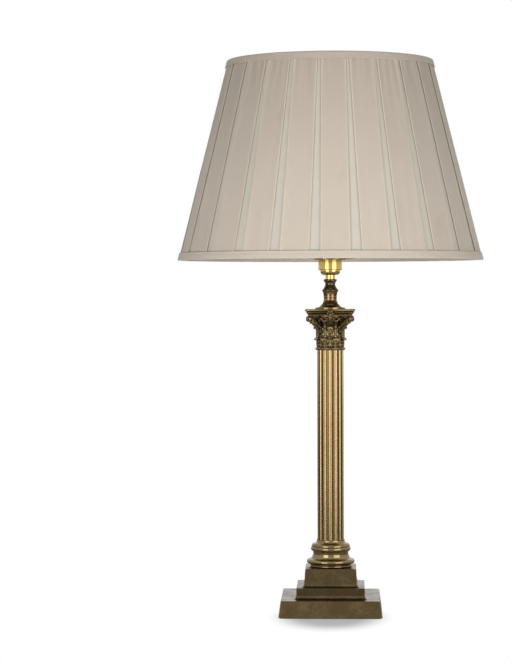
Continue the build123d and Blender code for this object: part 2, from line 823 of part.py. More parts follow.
with BuildPart() as holder_barrel:
    with BuildSketch(Plane.XZ):
        with BuildLine():
            Polyline(
                (barrel_bore_radius, cap_rim),
                (barrel_radius, cap_rim),
                (barrel_radius, barrel_top),
                (barrel_mouth_radius, barrel_top),
                (barrel_mouth_radius, bore_step_level),
                (barrel_bore_radius, bore_step_level),
                close=True,
            )
        make_face()
    revolve(axis=Axis.Z)
    # Each bayonet slot runs down from the mouth, across, and up into the notch that holds a pin.
    with BuildSketch(Plane.XZ):
        with BuildLine():
            Polyline(
                (-slot_width / 2, slot_floor),
                (slot_shift + slot_width / 2, slot_floor),
                (slot_shift + slot_width / 2, barrel_top + 1),
                (slot_shift - slot_width / 2, barrel_top + 1),
                (slot_shift - slot_width / 2, pin_level - pin_radius + slot_play),
                (slot_width / 2, pin_level - pin_radius + slot_play),
                (slot_width / 2, slot_roof),
                (-slot_width / 2, slot_roof),
                close=True,
            )
        make_face()
    extrude(amount=2 * barrel_radius, mode=Mode.SUBTRACT)
    with BuildSketch(Plane.XZ):
        with BuildLine():
            Polyline(
                (slot_width / 2, slot_floor),
                (-slot_shift - slot_width / 2, slot_floor),
                (-slot_shift - slot_width / 2, barrel_top + 1),
                (-slot_shift + slot_width / 2, barrel_top + 1),
                (-slot_shift + slot_width / 2, pin_level - pin_radius + slot_play),
                (-slot_width / 2, pin_level - pin_radius + slot_play),
                (-slot_width / 2, slot_roof),
                (slot_width / 2, slot_roof),
                close=True,
            )
        make_face()
    extrude(amount=-2 * barrel_radius, mode=Mode.SUBTRACT)
holder_barrel.part.label = "holder_barrel"
export_step(holder_barrel.part, "parts/holder_barrel.step")

with BuildSketch() as ring_section:
    # A shade ring's section: skirt below, flange on top, from its own foot.
    with BuildLine():
        Polyline(
            (barrel_radius + thread_gap, 0),
            (ring_skirt_radius, 0),
            (ring_skirt_radius, ring_skirt_height),
            (ring_flange_radius, ring_skirt_height),
            (ring_flange_radius, ring_skirt_height + ring_flange_thickness),
            (barrel_radius + thread_gap, ring_skirt_height + ring_flange_thickness),
            close=True,
        )
    make_face()
    fillet(ring_section.vertices().group_by(Axis.Y)[0].sort_by(Axis.X)[-1], ring_edge_radius)

ring_foot = flange_level - ring_skirt_height - ring_flange_thickness

with BuildPart() as shade_ring_lower:
    with BuildSketch(Plane(origin=(0, 0, ring_foot), x_dir=(1, 0, 0), z_dir=(0, -1, 0))):
        add(ring_section.sketch)
    revolve(axis=Axis.Z)
shade_ring_lower.part.label = "shade_ring_lower"
export_step(shade_ring_lower.part, "parts/shade_ring_lower.step")

with BuildPart() as shade_ring_upper:
    add(shade_ring_lower.part.mirror(Plane.XY.offset((flange_level + carrier_top) / 2)))
shade_ring_upper.part.label = "shade_ring_upper"
export_step(shade_ring_upper.part, "parts/shade_ring_upper.step")

plunger_base = insulator_top + plunger_proud - plunger_length
well_floor = insulator_base + 2 * cap_wall

with BuildPart() as holder_insulator:
    with BuildSketch(Plane.XY.offset(insulator_base)):
        Circle(barrel_mouth_radius - slip_gap)
    extrude(amount=insulator_height)
    with BuildSketch(Plane.XY.offset(well_floor)):
        with Locations((-plunger_spacing / 2, 0), (plunger_spacing / 2, 0)):
            Circle(plunger_radius + plunger_gap)
    extrude(amount=insulator_height, mode=Mode.SUBTRACT)
holder_insulator.part.label = "holder_insulator"
export_step(holder_insulator.part, "parts/holder_insulator.step")

with BuildPart() as contact_plungers:
    with BuildSketch(Plane.XY.offset(plunger_base)):
        with Locations((-plunger_spacing / 2, 0), (plunger_spacing / 2, 0)):
            Circle(plunger_radius)
    extrude(amount=plunger_length)
    tips = contact_plungers.edges().filter_by(GeomType.CIRCLE).group_by(Axis.Z)[-1]
    fillet(tips, plunger_radius / 4)
contact_plungers.part.label = "contact_plungers"
export_step(contact_plungers.part, "parts/contact_plungers.step")

spring_height = plunger_base - well_floor - 2 * spring_wire_radius
spring_path = Helix(spring_height / spring_turns, spring_height, spring_radius)
with BuildPart() as plunger_springs:
    with BuildLine() as spring_line:
        add(spring_path.moved(Location((-plunger_spacing / 2, 0, well_floor + spring_wire_radius))))
    with BuildSketch(Plane(origin=spring_line.line @ 0, z_dir=spring_line.line % 0)):
        RegularPolygon(spring_wire_radius, spring_wire_sides)
    sweep()
    mirror(about=Plane.YZ)
plunger_springs.part.label = "plunger_springs"
export_step(plunger_springs.part, "parts/plunger_springs.step")

with BuildPart() as terminal_posts:
    with BuildSketch(Plane.XY.offset(insulator_base)):
        with Locations((-plunger_spacing / 2, 0), (plunger_spacing / 2, 0)):
            Rectangle(post_size, post_size)
    extrude(amount=-post_height)
    with BuildSketch(Plane.XZ.offset(post_size / 2)):
        with Locations(*[(side * plunger_spacing / 2, insulator_base - post_height / 2) for side in (-1, 1)]):
            Circle(terminal_screw_radius + thread_gap)
    extrude(amount=-terminal_screw_length, mode=Mode.SUBTRACT)
terminal_posts.part.label = "terminal_posts"
export_step(terminal_posts.part, "parts/terminal_posts.step")

with BuildPart() as terminal_screws:
    for side in (-1, 1):
        with BuildSketch(Plane.XZ.offset(post_size / 2)):
            with Locations((side * plunger_spacing / 2, insulator_base - post_height / 2)):
                Circle(terminal_screw_radius)
        extrude(amount=-terminal_screw_length)
        with BuildSketch(Plane.XZ.offset(post_size / 2)):
            with Locations((side * plunger_spacing / 2, insulator_base - post_height / 2)):
                Circle(terminal_screw_head)
        extrude(amount=terminal_screw_head)
terminal_screws.part.label = "terminal_screws"
export_step(terminal_screws.part, "parts/terminal_screws.step")

# ---- Bulb with a bayonet cap ----

cap_top = bulb_base + bulb_cap_length
bulb_centre = bulb_base + bulb_length - bulb_radius

with BuildPart() as bulb_cap:
    with BuildSketch(Plane.XZ):
        with BuildLine():
            Polyline(
                (0, bulb_base + contact_height),
                (bulb_cap_radius - cap_wall, bulb_base + contact_height),
                (bulb_cap_radius, bulb_base + contact_height + cap_wall),
                (bulb_cap_radius, cap_top),
                (bulb_cap_radius - bulb_cap_wall, cap_top),
                (bulb_cap_radius - bulb_cap_wall, pin_level + 2 * pin_radius),
                (0, pin_level + 2 * pin_radius),
                close=True,
            )
        make_face()
    revolve(axis=Axis.Z)
    with BuildSketch(Plane.XZ):
        with Locations((0, pin_level)):
            Circle(pin_radius)
    extrude(amount=pin_reach, both=True)
bulb_cap.part.label = "bulb_cap"
export_step(bulb_cap.part, "parts/bulb_cap.step")

with BuildPart() as bulb_contacts:
    with BuildSketch(Plane.XY.offset(bulb_base)):
        with Locations((-plunger_spacing / 2, 0), (plunger_spacing / 2, 0)):
            Circle(contact_radius)
    extrude(amount=contact_height)
bulb_contacts.part.label = "bulb_contacts"
export_step(bulb_contacts.part, "parts/bulb_contacts.step")

glass_foot_radius = bulb_cap_radius - bulb_cap_wall - thread_gap
glass_foot = pin_level + 2 * pin_radius + seat_gap


def envelope(wall):
    # The bulb's outline, drawn in by the wall: neck, shoulder and round head.
    head = bulb_radius - wall
    neck = bulb_neck_radius - wall
    foot = glass_foot_radius - wall
    lowest = glass_foot if wall == 0 else glass_foot - 1
    neck_level = cap_top + bulb_neck_rise
    shoulder = bulb_centre - shoulder_drop
    girth = sqrt(head**2 - shoulder_drop**2)
    crown = head / sqrt(2)
    with BuildSketch() as outline:
        with BuildLine():
            Line((0, lowest), (foot, lowest))
            Line((foot, lowest), (foot, cap_top))
            arc_between((foot, cap_top), (neck, neck_level), cove / 2)
            arc_between((neck, neck_level), (girth, shoulder), cove / 3)
            ThreePointArc((girth, shoulder), (crown, bulb_centre + crown), (0, bulb_centre + head))
            Line((0, bulb_centre + head), (0, lowest))
        make_face()
    return outline.sketch


with BuildPart() as bulb_glass:
    with BuildSketch(Plane.XZ):
        add(envelope(0))
        add(envelope(glass_wall), mode=Mode.SUBTRACT)
    revolve(axis=Axis.Z)
bulb_glass.part.label = "bulb_glass"
export_step(bulb_glass.part, "parts/bulb_glass.step")

stem_top_level = glass_foot + stem_height
stem_middle = glass_foot + stem_height / 2
stem_shoulder_level = stem_top_level - stem_radius / 2
flare_radius = glass_foot_radius - 2 * glass_wall
with BuildPart() as bulb_stem:
    with BuildSketch(Plane.XZ):
        with BuildLine():
            Line((0, glass_foot), (flare_radius, glass_foot))
            arc_between((flare_radius, glass_foot), (stem_radius, stem_middle), cove)
            Line((stem_radius, stem_middle), (stem_radius, stem_shoulder_level))
            arc_between((stem_radius, stem_shoulder_level), (stem_radius / 2, stem_top_level), ovolo)
            Polyline((stem_radius / 2, stem_top_level), (0, stem_top_level), (0, glass_foot))
        make_face()
    revolve(axis=Axis.Z)
bulb_stem.part.label = "bulb_stem"
export_step(bulb_stem.part, "parts/bulb_stem.step")

filament_level = stem_top_level + filament_lift
with BuildPart() as bulb_filament:
    with BuildLine() as filament_path:
        FilletPolyline(
            (-stem_radius / 2, 0, stem_top_level + seat_gap),
            (-filament_span / 2, 0, filament_level),
            (0, filament_span / 3, filament_level),
            (filament_span / 2, 0, filament_level),
            (stem_radius / 2, 0, stem_top_level + seat_gap),
            radius=filament_lift / 10,
        )
    with BuildSketch(Plane(origin=filament_path.line @ 0, z_dir=filament_path.line % 0)):
        Circle(filament_radius)
    sweep()
bulb_filament.part.label = "bulb_filament"
export_step(bulb_filament.part, "parts/bulb_filament.step")

# ---- Shade carrier: plate on the lampholder, three arms round the bulb, gallery that the shade rests on ----

with BuildPart() as carrier_plate:
    with BuildSketch(Plane.XY.offset(flange_level)):
        Circle(carrier_plate_radius)
        Circle(barrel_radius + slip_gap, mode=Mode.SUBTRACT)
    extrude(amount=carrier_plate_thickness)
carrier_plate.part.label = "carrier_plate"
export_step(carrier_plate.part, "parts/carrier_plate.step")

arm_level = flange_level + carrier_plate_thickness / 2
gallery_middle = (gallery_inner_radius + gallery_outer_radius) / 2
with BuildPart() as carrier_arm:
    with BuildLine() as arm_path:
        FilletPolyline(
            (carrier_plate_radius + seat_gap, 0, arm_level),
            (carrier_knee_radius, 0, arm_level + carrier_knee_rise / 8),
            (gallery_middle, 0, arm_level + 2 * carrier_knee_rise),
            (gallery_middle, 0, gallery_level - seat_gap),
            radius=carrier_bend_radius,
        )
    with BuildSketch(Plane(origin=arm_path.line @ 0, z_dir=arm_path.line % 0)):
        Circle(carrier_wire_radius)
    sweep()

with BuildPart() as carrier_arms:
    with PolarLocations(0, carrier_arm_count):
        add(carrier_arm.part)
carrier_arms.part.label = "carrier_arms"
export_step(carrier_arms.part, "parts/carrier_arms.step")

with BuildPart() as carrier_gallery:
    with BuildSketch(Plane.XZ):
        with BuildLine():
            Polyline(
                (gallery_inner_radius, gallery_level),
                (gallery_outer_radius, gallery_level),
                (gallery_outer_radius, gallery_level + gallery_thickness),
                (gallery_inner_radius + gallery_thickness, gallery_level + gallery_thickness),
                (gallery_inner_radius + gallery_thickness, gallery_level + gallery_upstand),
                (gallery_inner_radius, gallery_level + gallery_upstand),
                close=True,
            )
        make_face()
    revolve(axis=Axis.Z)
carrier_gallery.part.label = "carrier_gallery"
export_step(carrier_gallery.part, "parts/carrier_gallery.step")

# ---- Shade: wire frame, lining, pleated cover and bands, all on one cone ----

cone_slope = (shade_bottom_radius - shade_top_radius) / shade_height
slant = sqrt(1 + cone_slope**2)


def cone_radius(level, inset):
    # Radius of the cone that lies the inset inside the shade's outside, square to its side.
    return shade_bottom_radius - cone_slope * (level - shade_base_level) - inset * slant


cover_inset = band_thickness + cloth_gap
cover_back_inset = cover_inset + pleat_depth + cover_thickness
wire_inset = cover_back_inset + cloth_gap + frame_wire_radius
lining_inset = wire_inset + frame_wire_radius + cloth_gap
cloth_base = shade_base_level + band_thickness + cloth_gap
cloth_top = shade_top_level - band_thickness - cloth_gap
bottom_wire_level = cloth_base + frame_wire_radius
top_wire_level = cloth_top - frame_wire_radius
bottom_wire_radius = cone_radius(bottom_wire_level, wire_inset)
top_wire_radius = cone_radius(top_wire_level, wire_inset)

for node, wire_radius, level, thickness in (
    ("frame_bottom_ring", bottom_wire_radius, bottom_wire_level, frame_wire_radius),
    ("frame_top_ring", top_wire_radius, top_wire_level, frame_wire_radius),
    ("duplex_ring", duplex_radius, duplex_level, duplex_wire_radius),
):
    with BuildPart() as wire_ring:
        with BuildSketch(Plane.XZ):
            with Locations((wire_radius, level)):
                Circle(thickness)
        revolve(axis=Axis.Z)
    wire_ring.part.label = node
    export_step(wire_ring.part, f"parts/{node}.step")


def straight_wires(start, end, start_trim, end_trim, thickness, count, first):
    # Wires of one kind round the axis, from start to end in the XZ plane, trimmed to meet their rings.
    way = (Vector(end[0], 0, end[1]) - Vector(start[0], 0, start[1])).normalized()
    low = Vector(start[0], 0, start[1]) + way * start_trim
    high = Vector(end[0], 0, end[1]) - way * end_trim
    with BuildPart() as wire:
        with BuildSketch(Plane(origin=low, z_dir=way)):
            Circle(thickness)
        extrude(amount=(high - low).length)
    with BuildPart() as wires:
        with PolarLocations(0, count, start_angle=first):
            add(wire.part)
    return wires.part


frame_trim = frame_wire_radius + seat_gap
frame_struts = straight_wires(
    (bottom_wire_radius, bottom_wire_level),
    (top_wire_radius, top_wire_level),
    frame_trim,
    frame_trim,
    strut_radius,
    strut_count,
    180 / pleat_count,
)
frame_struts.label = "frame_struts"
export_step(frame_struts, "parts/frame_struts.step")


def duplex_wires(thickness):
    return straight_wires(
        (duplex_radius, duplex_level),
        (top_wire_radius, top_wire_level),
        duplex_wire_radius + seat_gap,
        frame_trim,
        thickness,
        duplex_arm_count,
        90,
    )


duplex_arms = duplex_wires(frame_wire_radius)
duplex_arms.label = "duplex_arms"
export_step(duplex_arms, "parts/duplex_arms.step")

with BuildPart() as shade_lining:
    with BuildSketch(Plane.XZ):
        with BuildLine():
            Polyline(
                (cone_radius(cloth_base, lining_inset), cloth_base),
                (cone_radius(cloth_top, lining_inset), cloth_top),
                (cone_radius(cloth_top, lining_inset + lining_thickness), cloth_top),
                (cone_radius(cloth_base, lining_inset + lining_thickness), cloth_base),
                close=True,
            )
        make_face()
    revolve(axis=Axis.Z)
    add(duplex_wires(frame_wire_radius + cloth_gap), mode=Mode.SUBTRACT)
shade_lining.part.label = "shade_lining"
export_step(shade_lining.part, "parts/shade_lining.step")


def pleat_outline(level, strip_width):
    # One closed ring of flat panels with a recessed strip between each two.
    crest = cone_radius(level, cover_inset)
    pitch = 360 / pleat_count
    half_strip = degrees(asin(strip_width / 2 / crest))
    corners = []
    for pleat in range(pleat_count):
        middle = pitch * pleat + pleat_turn
        for angle, radius in (
            (middle - pitch / 2 + half_strip, crest),
            (middle + pitch / 2 - half_strip, crest),
            (middle + pitch / 2 - half_strip, crest - pleat_depth),
            (middle + pitch / 2 + half_strip, crest - pleat_depth),
        ):
            corners.append((radius * cos(radians(angle)), radius * sin(radians(angle))))
    with BuildSketch(Plane.XY.offset(level)) as ring:
        with BuildLine():
            Polyline(*corners, close=True)
        make_face()
    return ring.sketch


with BuildPart() as shade_cover:
    add(pleat_outline(cloth_base, strip_width_bottom))
    add(pleat_outline(cloth_top, strip_width_top))
    loft(ruled=True)
    with BuildSketch(Plane.XZ):
        with BuildLine():
            Polyline(
                (0, cloth_base - 1),
                (cone_radius(cloth_base - 1, cover_back_inset), cloth_base - 1),
                (cone_radius(cloth_top + 1, cover_back_inset), cloth_top + 1),
                (0, cloth_top + 1),
                close=True,
            )
        make_face()
    revolve(axis=Axis.Z, mode=Mode.SUBTRACT)
shade_cover.part.label = "shade_cover"
export_step(shade_cover.part, "parts/shade_cover.step")

inner_leg_inset = lining_inset + lining_thickness + cloth_gap


def band_section(edge, way, outer_height):
    # A band folded over the shade's edge: outer leg, web and shorter inner leg.
    cloth_edge = edge + way * band_thickness
    outer_end = edge + way * outer_height
    inner_end = edge + way * band_inner_height
    with BuildSketch() as section:
        with BuildLine():
            Polyline(
                (cone_radius(edge, 0), edge),
                (cone_radius(outer_end, 0), outer_end),
                (cone_radius(outer_end, band_thickness), outer_end),
                (cone_radius(cloth_edge, band_thickness), cloth_edge),
                (cone_radius(cloth_edge, inner_leg_inset), cloth_edge),
                (cone_radius(inner_end, inner_leg_inset), inner_end),
                (cone_radius(inner_end, inner_leg_inset + band_thickness), inner_end),
                (cone_radius(edge, inner_leg_inset + band_thickness), edge),
                close=True,
            )
        make_face()
    return section.sketch


with BuildPart() as shade_band_bottom:
    with BuildSketch(Plane.XZ):
        add(band_section(shade_base_level, 1, bottom_band_height))
    revolve(axis=Axis.Z)
shade_band_bottom.part.label = "shade_band_bottom"
export_step(shade_band_bottom.part, "parts/shade_band_bottom.step")

with BuildPart() as shade_band_top:
    with BuildSketch(Plane.XZ):
        add(band_section(shade_top_level, -1, top_band_height))
    revolve(axis=Axis.Z)
    add(duplex_wires(frame_wire_radius + cloth_gap), mode=Mode.SUBTRACT)
shade_band_top.part.label = "shade_band_top"
export_step(shade_band_top.part, "parts/shade_band_top.step")
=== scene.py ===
import math
import bmesh
import bpy
from mathutils import Euler, Matrix, Vector, noise


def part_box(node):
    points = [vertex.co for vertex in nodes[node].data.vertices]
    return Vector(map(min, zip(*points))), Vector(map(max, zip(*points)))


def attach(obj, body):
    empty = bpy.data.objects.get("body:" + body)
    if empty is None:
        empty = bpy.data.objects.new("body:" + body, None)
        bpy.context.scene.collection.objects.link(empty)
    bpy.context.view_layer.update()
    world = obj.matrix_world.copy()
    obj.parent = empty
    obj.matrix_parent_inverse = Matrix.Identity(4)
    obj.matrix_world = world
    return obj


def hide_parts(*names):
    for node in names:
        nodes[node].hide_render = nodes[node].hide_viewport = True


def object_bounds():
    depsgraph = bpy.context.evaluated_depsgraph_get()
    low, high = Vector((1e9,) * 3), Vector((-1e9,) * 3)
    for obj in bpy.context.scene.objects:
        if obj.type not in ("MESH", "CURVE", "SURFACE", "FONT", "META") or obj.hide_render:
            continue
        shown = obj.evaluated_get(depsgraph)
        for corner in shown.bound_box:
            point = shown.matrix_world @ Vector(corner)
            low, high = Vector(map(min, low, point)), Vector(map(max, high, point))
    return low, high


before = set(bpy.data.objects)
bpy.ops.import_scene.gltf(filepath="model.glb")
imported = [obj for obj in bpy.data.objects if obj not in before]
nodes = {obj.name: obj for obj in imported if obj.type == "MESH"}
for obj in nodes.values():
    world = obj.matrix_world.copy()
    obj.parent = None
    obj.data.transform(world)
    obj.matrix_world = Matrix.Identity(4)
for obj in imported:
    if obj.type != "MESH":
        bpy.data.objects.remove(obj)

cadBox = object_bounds()
mm = 0.001


# Helpers that make and finish meshes.

def makeMesh(name, points, faces, uvs=None, smooth=True):
    mesh = bpy.data.meshes.new(name)
    mesh.from_pydata(points, [], faces)
    if uvs:
        layer = mesh.uv_layers.new(name="clothUv")
        for loop in mesh.loops:
            layer.data[loop.index].uv = uvs[loop.vertex_index]
    if smooth:
        mesh.shade_smooth()
    piece = bpy.data.objects.new(name, mesh)
    bpy.context.scene.collection.objects.link(piece)
    return piece


def gridFaces(rows, columns, closed=False):
    # Quads between rows of points, and round to the first column when closed.
    faces = []
    for row in range(rows - 1):
        for column in range(columns if closed else columns - 1):
            after = (column + 1) % columns
            faces.append((row * columns + column, row * columns + after,
                          (row + 1) * columns + after, (row + 1) * columns + column))
    return faces


def plainMesh(piece):
    # The evaluated piece becomes its own mesh, and its modifiers go.
    bpy.context.view_layer.update()
    shown = piece.evaluated_get(bpy.context.evaluated_depsgraph_get())
    mesh = bpy.data.meshes.new_from_object(shown)
    mesh.name = piece.name
    piece.modifiers.clear()
    piece.data = mesh
    return piece


def outward(piece):
    work = bmesh.new()
    work.from_mesh(piece.data)
    bmesh.ops.remove_doubles(work, verts=work.verts, dist=0.01 * mm)
    bmesh.ops.recalc_face_normals(work, faces=work.faces)
    work.to_mesh(piece.data)
    work.free()
    return piece


def coat(piece, finish):
    piece.data.materials.clear()
    piece.data.materials.append(finish)
    return piece


def setInput(modifier, name, value):
    # A modifier keeps its inputs by identifier.
    for item in modifier.node_group.interface.items_tree:
        if item.item_type == "SOCKET" and item.in_out == "INPUT" and item.name == name:
            modifier[item.identifier] = value


def ringTree():
    # Geometry Nodes: copies of one piece set evenly round the lamp's axis.
    tree = bpy.data.node_groups.new("ringOfCopies", "GeometryNodeTree")
    face = tree.interface
    face.new_socket(name="Geometry", in_out="INPUT", socket_type="NodeSocketGeometry")
    count = face.new_socket(name="Count", in_out="INPUT", socket_type="NodeSocketInt")
    count.default_value = 8
    turn = face.new_socket(name="First Angle", in_out="INPUT", socket_type="NodeSocketFloat")
    turn.subtype = "ANGLE"
    face.new_socket(name="Finish", in_out="INPUT", socket_type="NodeSocketMaterial")
    face.new_socket(name="Geometry", in_out="OUTPUT", socket_type="NodeSocketGeometry")
    add = tree.nodes.new
    link = tree.links.new
    source = add("NodeGroupInput")
    result = add("NodeGroupOutput")
    line = add("GeometryNodeMeshLine")
    line.mode = "OFFSET"
    line.inputs["Offset"].default_value = (0, 0, 0)
    index = add("GeometryNodeInputIndex")
    step = add("ShaderNodeMath")
    step.operation = "DIVIDE"
    step.inputs[0].default_value = math.tau
    angle = add("ShaderNodeMath")
    angle.operation = "MULTIPLY_ADD"
    spin = add("ShaderNodeCombineXYZ")
    place = add("GeometryNodeInstanceOnPoints")
    real = add("GeometryNodeRealizeInstances")
    finish = add("GeometryNodeSetMaterial")
    link(source.outputs["Count"], line.inputs["Count"])
    link(source.outputs["Count"], step.inputs[1])
    link(index.outputs[0], angle.inputs[0])
    link(step.outputs[0], angle.inputs[1])
    link(source.outputs["First Angle"], angle.inputs[2])
    link(angle.outputs[0], spin.inputs["Z"])
    link(line.outputs["Mesh"], place.inputs["Points"])
    link(source.outputs["Geometry"], place.inputs["Instance"])
    link(spin.outputs[0], place.inputs["Rotation"])
    link(place.outputs["Instances"], real.inputs["Geometry"])
    link(real.outputs["Geometry"], finish.inputs["Geometry"])
    link(source.outputs["Finish"], finish.inputs["Material"])
    link(finish.outputs["Geometry"], result.inputs["Geometry"])
    return tree


ringOfCopies = ringTree()


def repeatRound(piece, count, firstAngle, finish):
    modifier = piece.modifiers.new("copies", "NODES")
    modifier.node_group = ringOfCopies
    setInput(modifier, "Count", count)
    setInput(modifier, "First Angle", firstAngle)
    setInput(modifier, "Finish", finish)
    return coat(plainMesh(piece), finish)


def onCircle(radius, angle, level):
    return radius * math.cos(angle), radius * math.sin(angle), level


def tubeFaces(rows, around):
    # The walls of a tube and its two end caps.
    faces = gridFaces(rows, around, closed=True)
    faces.append(tuple(range(around)))
    faces.append(tuple((rows - 1) * around + step for step in range(around)))
    return faces


def loopFaces(rows, around):
    # The walls of a ring whose last row meets its first.
    faces = gridFaces(rows, around, closed=True)
    last = (rows - 1) * around
    for step in range(around):
        after = (step + 1) % around
        faces.append((last + step, last + after, after, step))
    return faces


def lathe(name, profile, segments):
    # A closed profile of (radius, level) turned round the lamp's axis.
    points = []
    for radius, level in profile:
        for step in range(segments):
            angle = math.tau * step / segments
            points.append(onCircle(radius, angle, level))
    return outward(makeMesh(name, points, loopFaces(len(profile), segments)))


def joined(name, pieces):
    work = bmesh.new()
    for piece in pieces:
        work.from_mesh(piece.data)
        bpy.data.objects.remove(piece)
    mesh = bpy.data.meshes.new(name)
    work.to_mesh(mesh)
    work.free()
    mesh.shade_smooth()
    piece = bpy.data.objects.new(name, mesh)
    bpy.context.scene.collection.objects.link(piece)
    return piece


def inMillimetres(places):
    return [(across * mm, up * mm) for across, up in places]


def sheetArea(piece):
    # One side of a thin closed sheet.
    return sum(face.area for face in piece.data.polygons) / 2


def thickened(piece, thickness, finish):
    # A single surface gets its thickness inwards, and its finish.
    wall = piece.modifiers.new("clothThickness", "SOLIDIFY")
    wall.thickness = thickness
    wall.offset = -1
    return coat(plainMesh(piece), finish)


# Shader groups that several finishes share.

def newGroup(name, inputs, outputs):
    tree = bpy.data.node_groups.new(name, "ShaderNodeTree")
    for label, kind, value in inputs:
        socket = tree.interface.new_socket(name=label, in_out="INPUT", socket_type=kind)
        socket.default_value = value
    for label, kind in outputs:
        tree.interface.new_socket(name=label, in_out="OUTPUT", socket_type=kind)
    return tree, tree.nodes.new("NodeGroupInput"), tree.nodes.new("NodeGroupOutput")


def noiseNode(tree, vector, scale, detail=4.0, rough=0.55):
    node = tree.nodes.new("ShaderNodeTexNoise")
    node.inputs["Detail"].default_value = detail
    node.inputs["Roughness"].default_value = rough
    tree.links.new(vector, node.inputs["Vector"])
    if isinstance(scale, (int, float)):
        node.inputs["Scale"].default_value = scale
    else:
        tree.links.new(scale, node.inputs["Scale"])
    return node.outputs["Fac"]


def mathNode(tree, operation, first, second=None, third=None, clamp=False):
    node = tree.nodes.new("ShaderNodeMath")
    node.operation = operation
    node.use_clamp = clamp
    for place, value in enumerate((first, second, third)):
        if value is None:
            continue
        if isinstance(value, (int, float)):
            node.inputs[place].default_value = value
        else:
            tree.links.new(value, node.inputs[place])
    return node.outputs[0]


def rangeNode(tree, value, low, high, newLow=0.0, newHigh=1.0):
    node = tree.nodes.new("ShaderNodeMapRange")
    node.interpolation_type = "SMOOTHSTEP"
    for label, given in (("From Min", low), ("From Max", high), ("To Min", newLow), ("To Max", newHigh)):
        if isinstance(given, (int, float)):
            node.inputs[label].default_value = given
        else:
            tree.links.new(given, node.inputs[label])
    tree.links.new(value, node.inputs["Value"])
    return node.outputs["Result"]


def mixColour(tree, factor, first, second):
    node = tree.nodes.new("ShaderNodeMix")
    node.data_type = "RGBA"
    if isinstance(factor, (int, float)):
        node.inputs["Factor"].default_value = factor
    else:
        tree.links.new(factor, node.inputs["Factor"])
    for label, value in (("A", first), ("B", second)):
        socket = [item for item in node.inputs if item.name == label and item.type == "RGBA"][0]
        if isinstance(value, tuple):
            socket.default_value = value
        else:
            tree.links.new(value, socket)
    return [item for item in node.outputs if item.type == "RGBA"][0]


def splitNode(tree, vector):
    node = tree.nodes.new("ShaderNodeSeparateXYZ")
    tree.links.new(vector, node.inputs[0])
    return node.outputs


def cellNode(tree, vector, scale):
    # Distance from the middle of scattered cells, for spots.
    node = tree.nodes.new("ShaderNodeTexVoronoi")
    node.inputs["Scale"].default_value = scale
    tree.links.new(vector, node.inputs["Vector"])
    return node.outputs["Distance"]


def tarnishGroup():
    # Brass of one colour, clouded by darker tarnish and flecked with small spots.
    tree, source, result = newGroup(
        "brassTarnish",
        [("Vector", "NodeSocketVector", (0, 0, 0)),
         ("Brass", "NodeSocketColor", (0.6, 0.45, 0.2, 1)),
         ("Tarnish", "NodeSocketColor", (0.2, 0.15, 0.08, 1)),
         ("Red", "NodeSocketColor", (0.4, 0.2, 0.1, 1)),
         ("Cloud Scale", "NodeSocketFloat", 60.0),
         ("Tarnish Amount", "NodeSocketFloat", 0.5),
         ("Red Amount", "NodeSocketFloat", 0.2),
         ("Spot Amount", "NodeSocketFloat", 0.3),
         ("Low Roughness", "NodeSocketFloat", 0.2),
         ("High Roughness", "NodeSocketFloat", 0.4)],
        [("Color", "NodeSocketColor"), ("Roughness", "NodeSocketFloat"), ("Height", "NodeSocketFloat")])
    vector, cloudScale = source.outputs["Vector"], source.outputs["Cloud Scale"]
    cloud = noiseNode(tree, vector, cloudScale, 6.0, 0.6)
    fine = noiseNode(tree, vector, mathNode(tree, "MULTIPLY", cloudScale, 7.0), 5.0, 0.65)
    grain = noiseNode(tree, vector, 2600.0, 2.0)
    clouded = mathNode(tree, "MULTIPLY_ADD", fine, 0.35, mathNode(tree, "MULTIPLY", cloud, 0.65))
    edge = mathNode(tree, "MULTIPLY", source.outputs["Tarnish Amount"], 0.56)
    edge = mathNode(tree, "SUBTRACT", 0.78, edge)
    edgeLow, edgeHigh = mathNode(tree, "SUBTRACT", edge, 0.1), mathNode(tree, "ADD", edge, 0.12)
    mask = rangeNode(tree, clouded, edgeLow, edgeHigh)
    colour = mixColour(tree, mask, source.outputs["Brass"], source.outputs["Tarnish"])
    flush = noiseNode(tree, vector, mathNode(tree, "MULTIPLY", cloudScale, 0.6), 3.0)
    redMask = mathNode(tree, "MULTIPLY", rangeNode(tree, flush, 0.5, 0.68), source.outputs["Red Amount"])
    colour = mixColour(tree, redMask, colour, source.outputs["Red"])
    spots = rangeNode(tree, cellNode(tree, vector, 420.0), 0.1, 0.2, 1.0, 0.0)
    spots = mathNode(tree, "MULTIPLY", spots, rangeNode(tree, fine, 0.52, 0.62))
    spots = mathNode(tree, "MULTIPLY", spots, source.outputs["Spot Amount"])
    colour = mixColour(tree, spots, colour, (0.05, 0.035, 0.02, 1))
    rough = tree.nodes.new("ShaderNodeMix")
    rough.data_type = "FLOAT"
    tree.links.new(mathNode(tree, "MAXIMUM", mask, spots), rough.inputs["Factor"])
    tree.links.new(source.outputs["Low Roughness"], rough.inputs["A"])
    tree.links.new(source.outputs["High Roughness"], rough.inputs["B"])
    height = mathNode(tree, "MULTIPLY_ADD", grain, 0.3, mathNode(tree, "MULTIPLY", fine, 0.7))
    tree.links.new(colour, result.inputs["Color"])
    tree.links.new(rough.outputs["Result"], result.inputs["Roughness"])
    tree.links.new(height, result.inputs["Height"])
    return tree


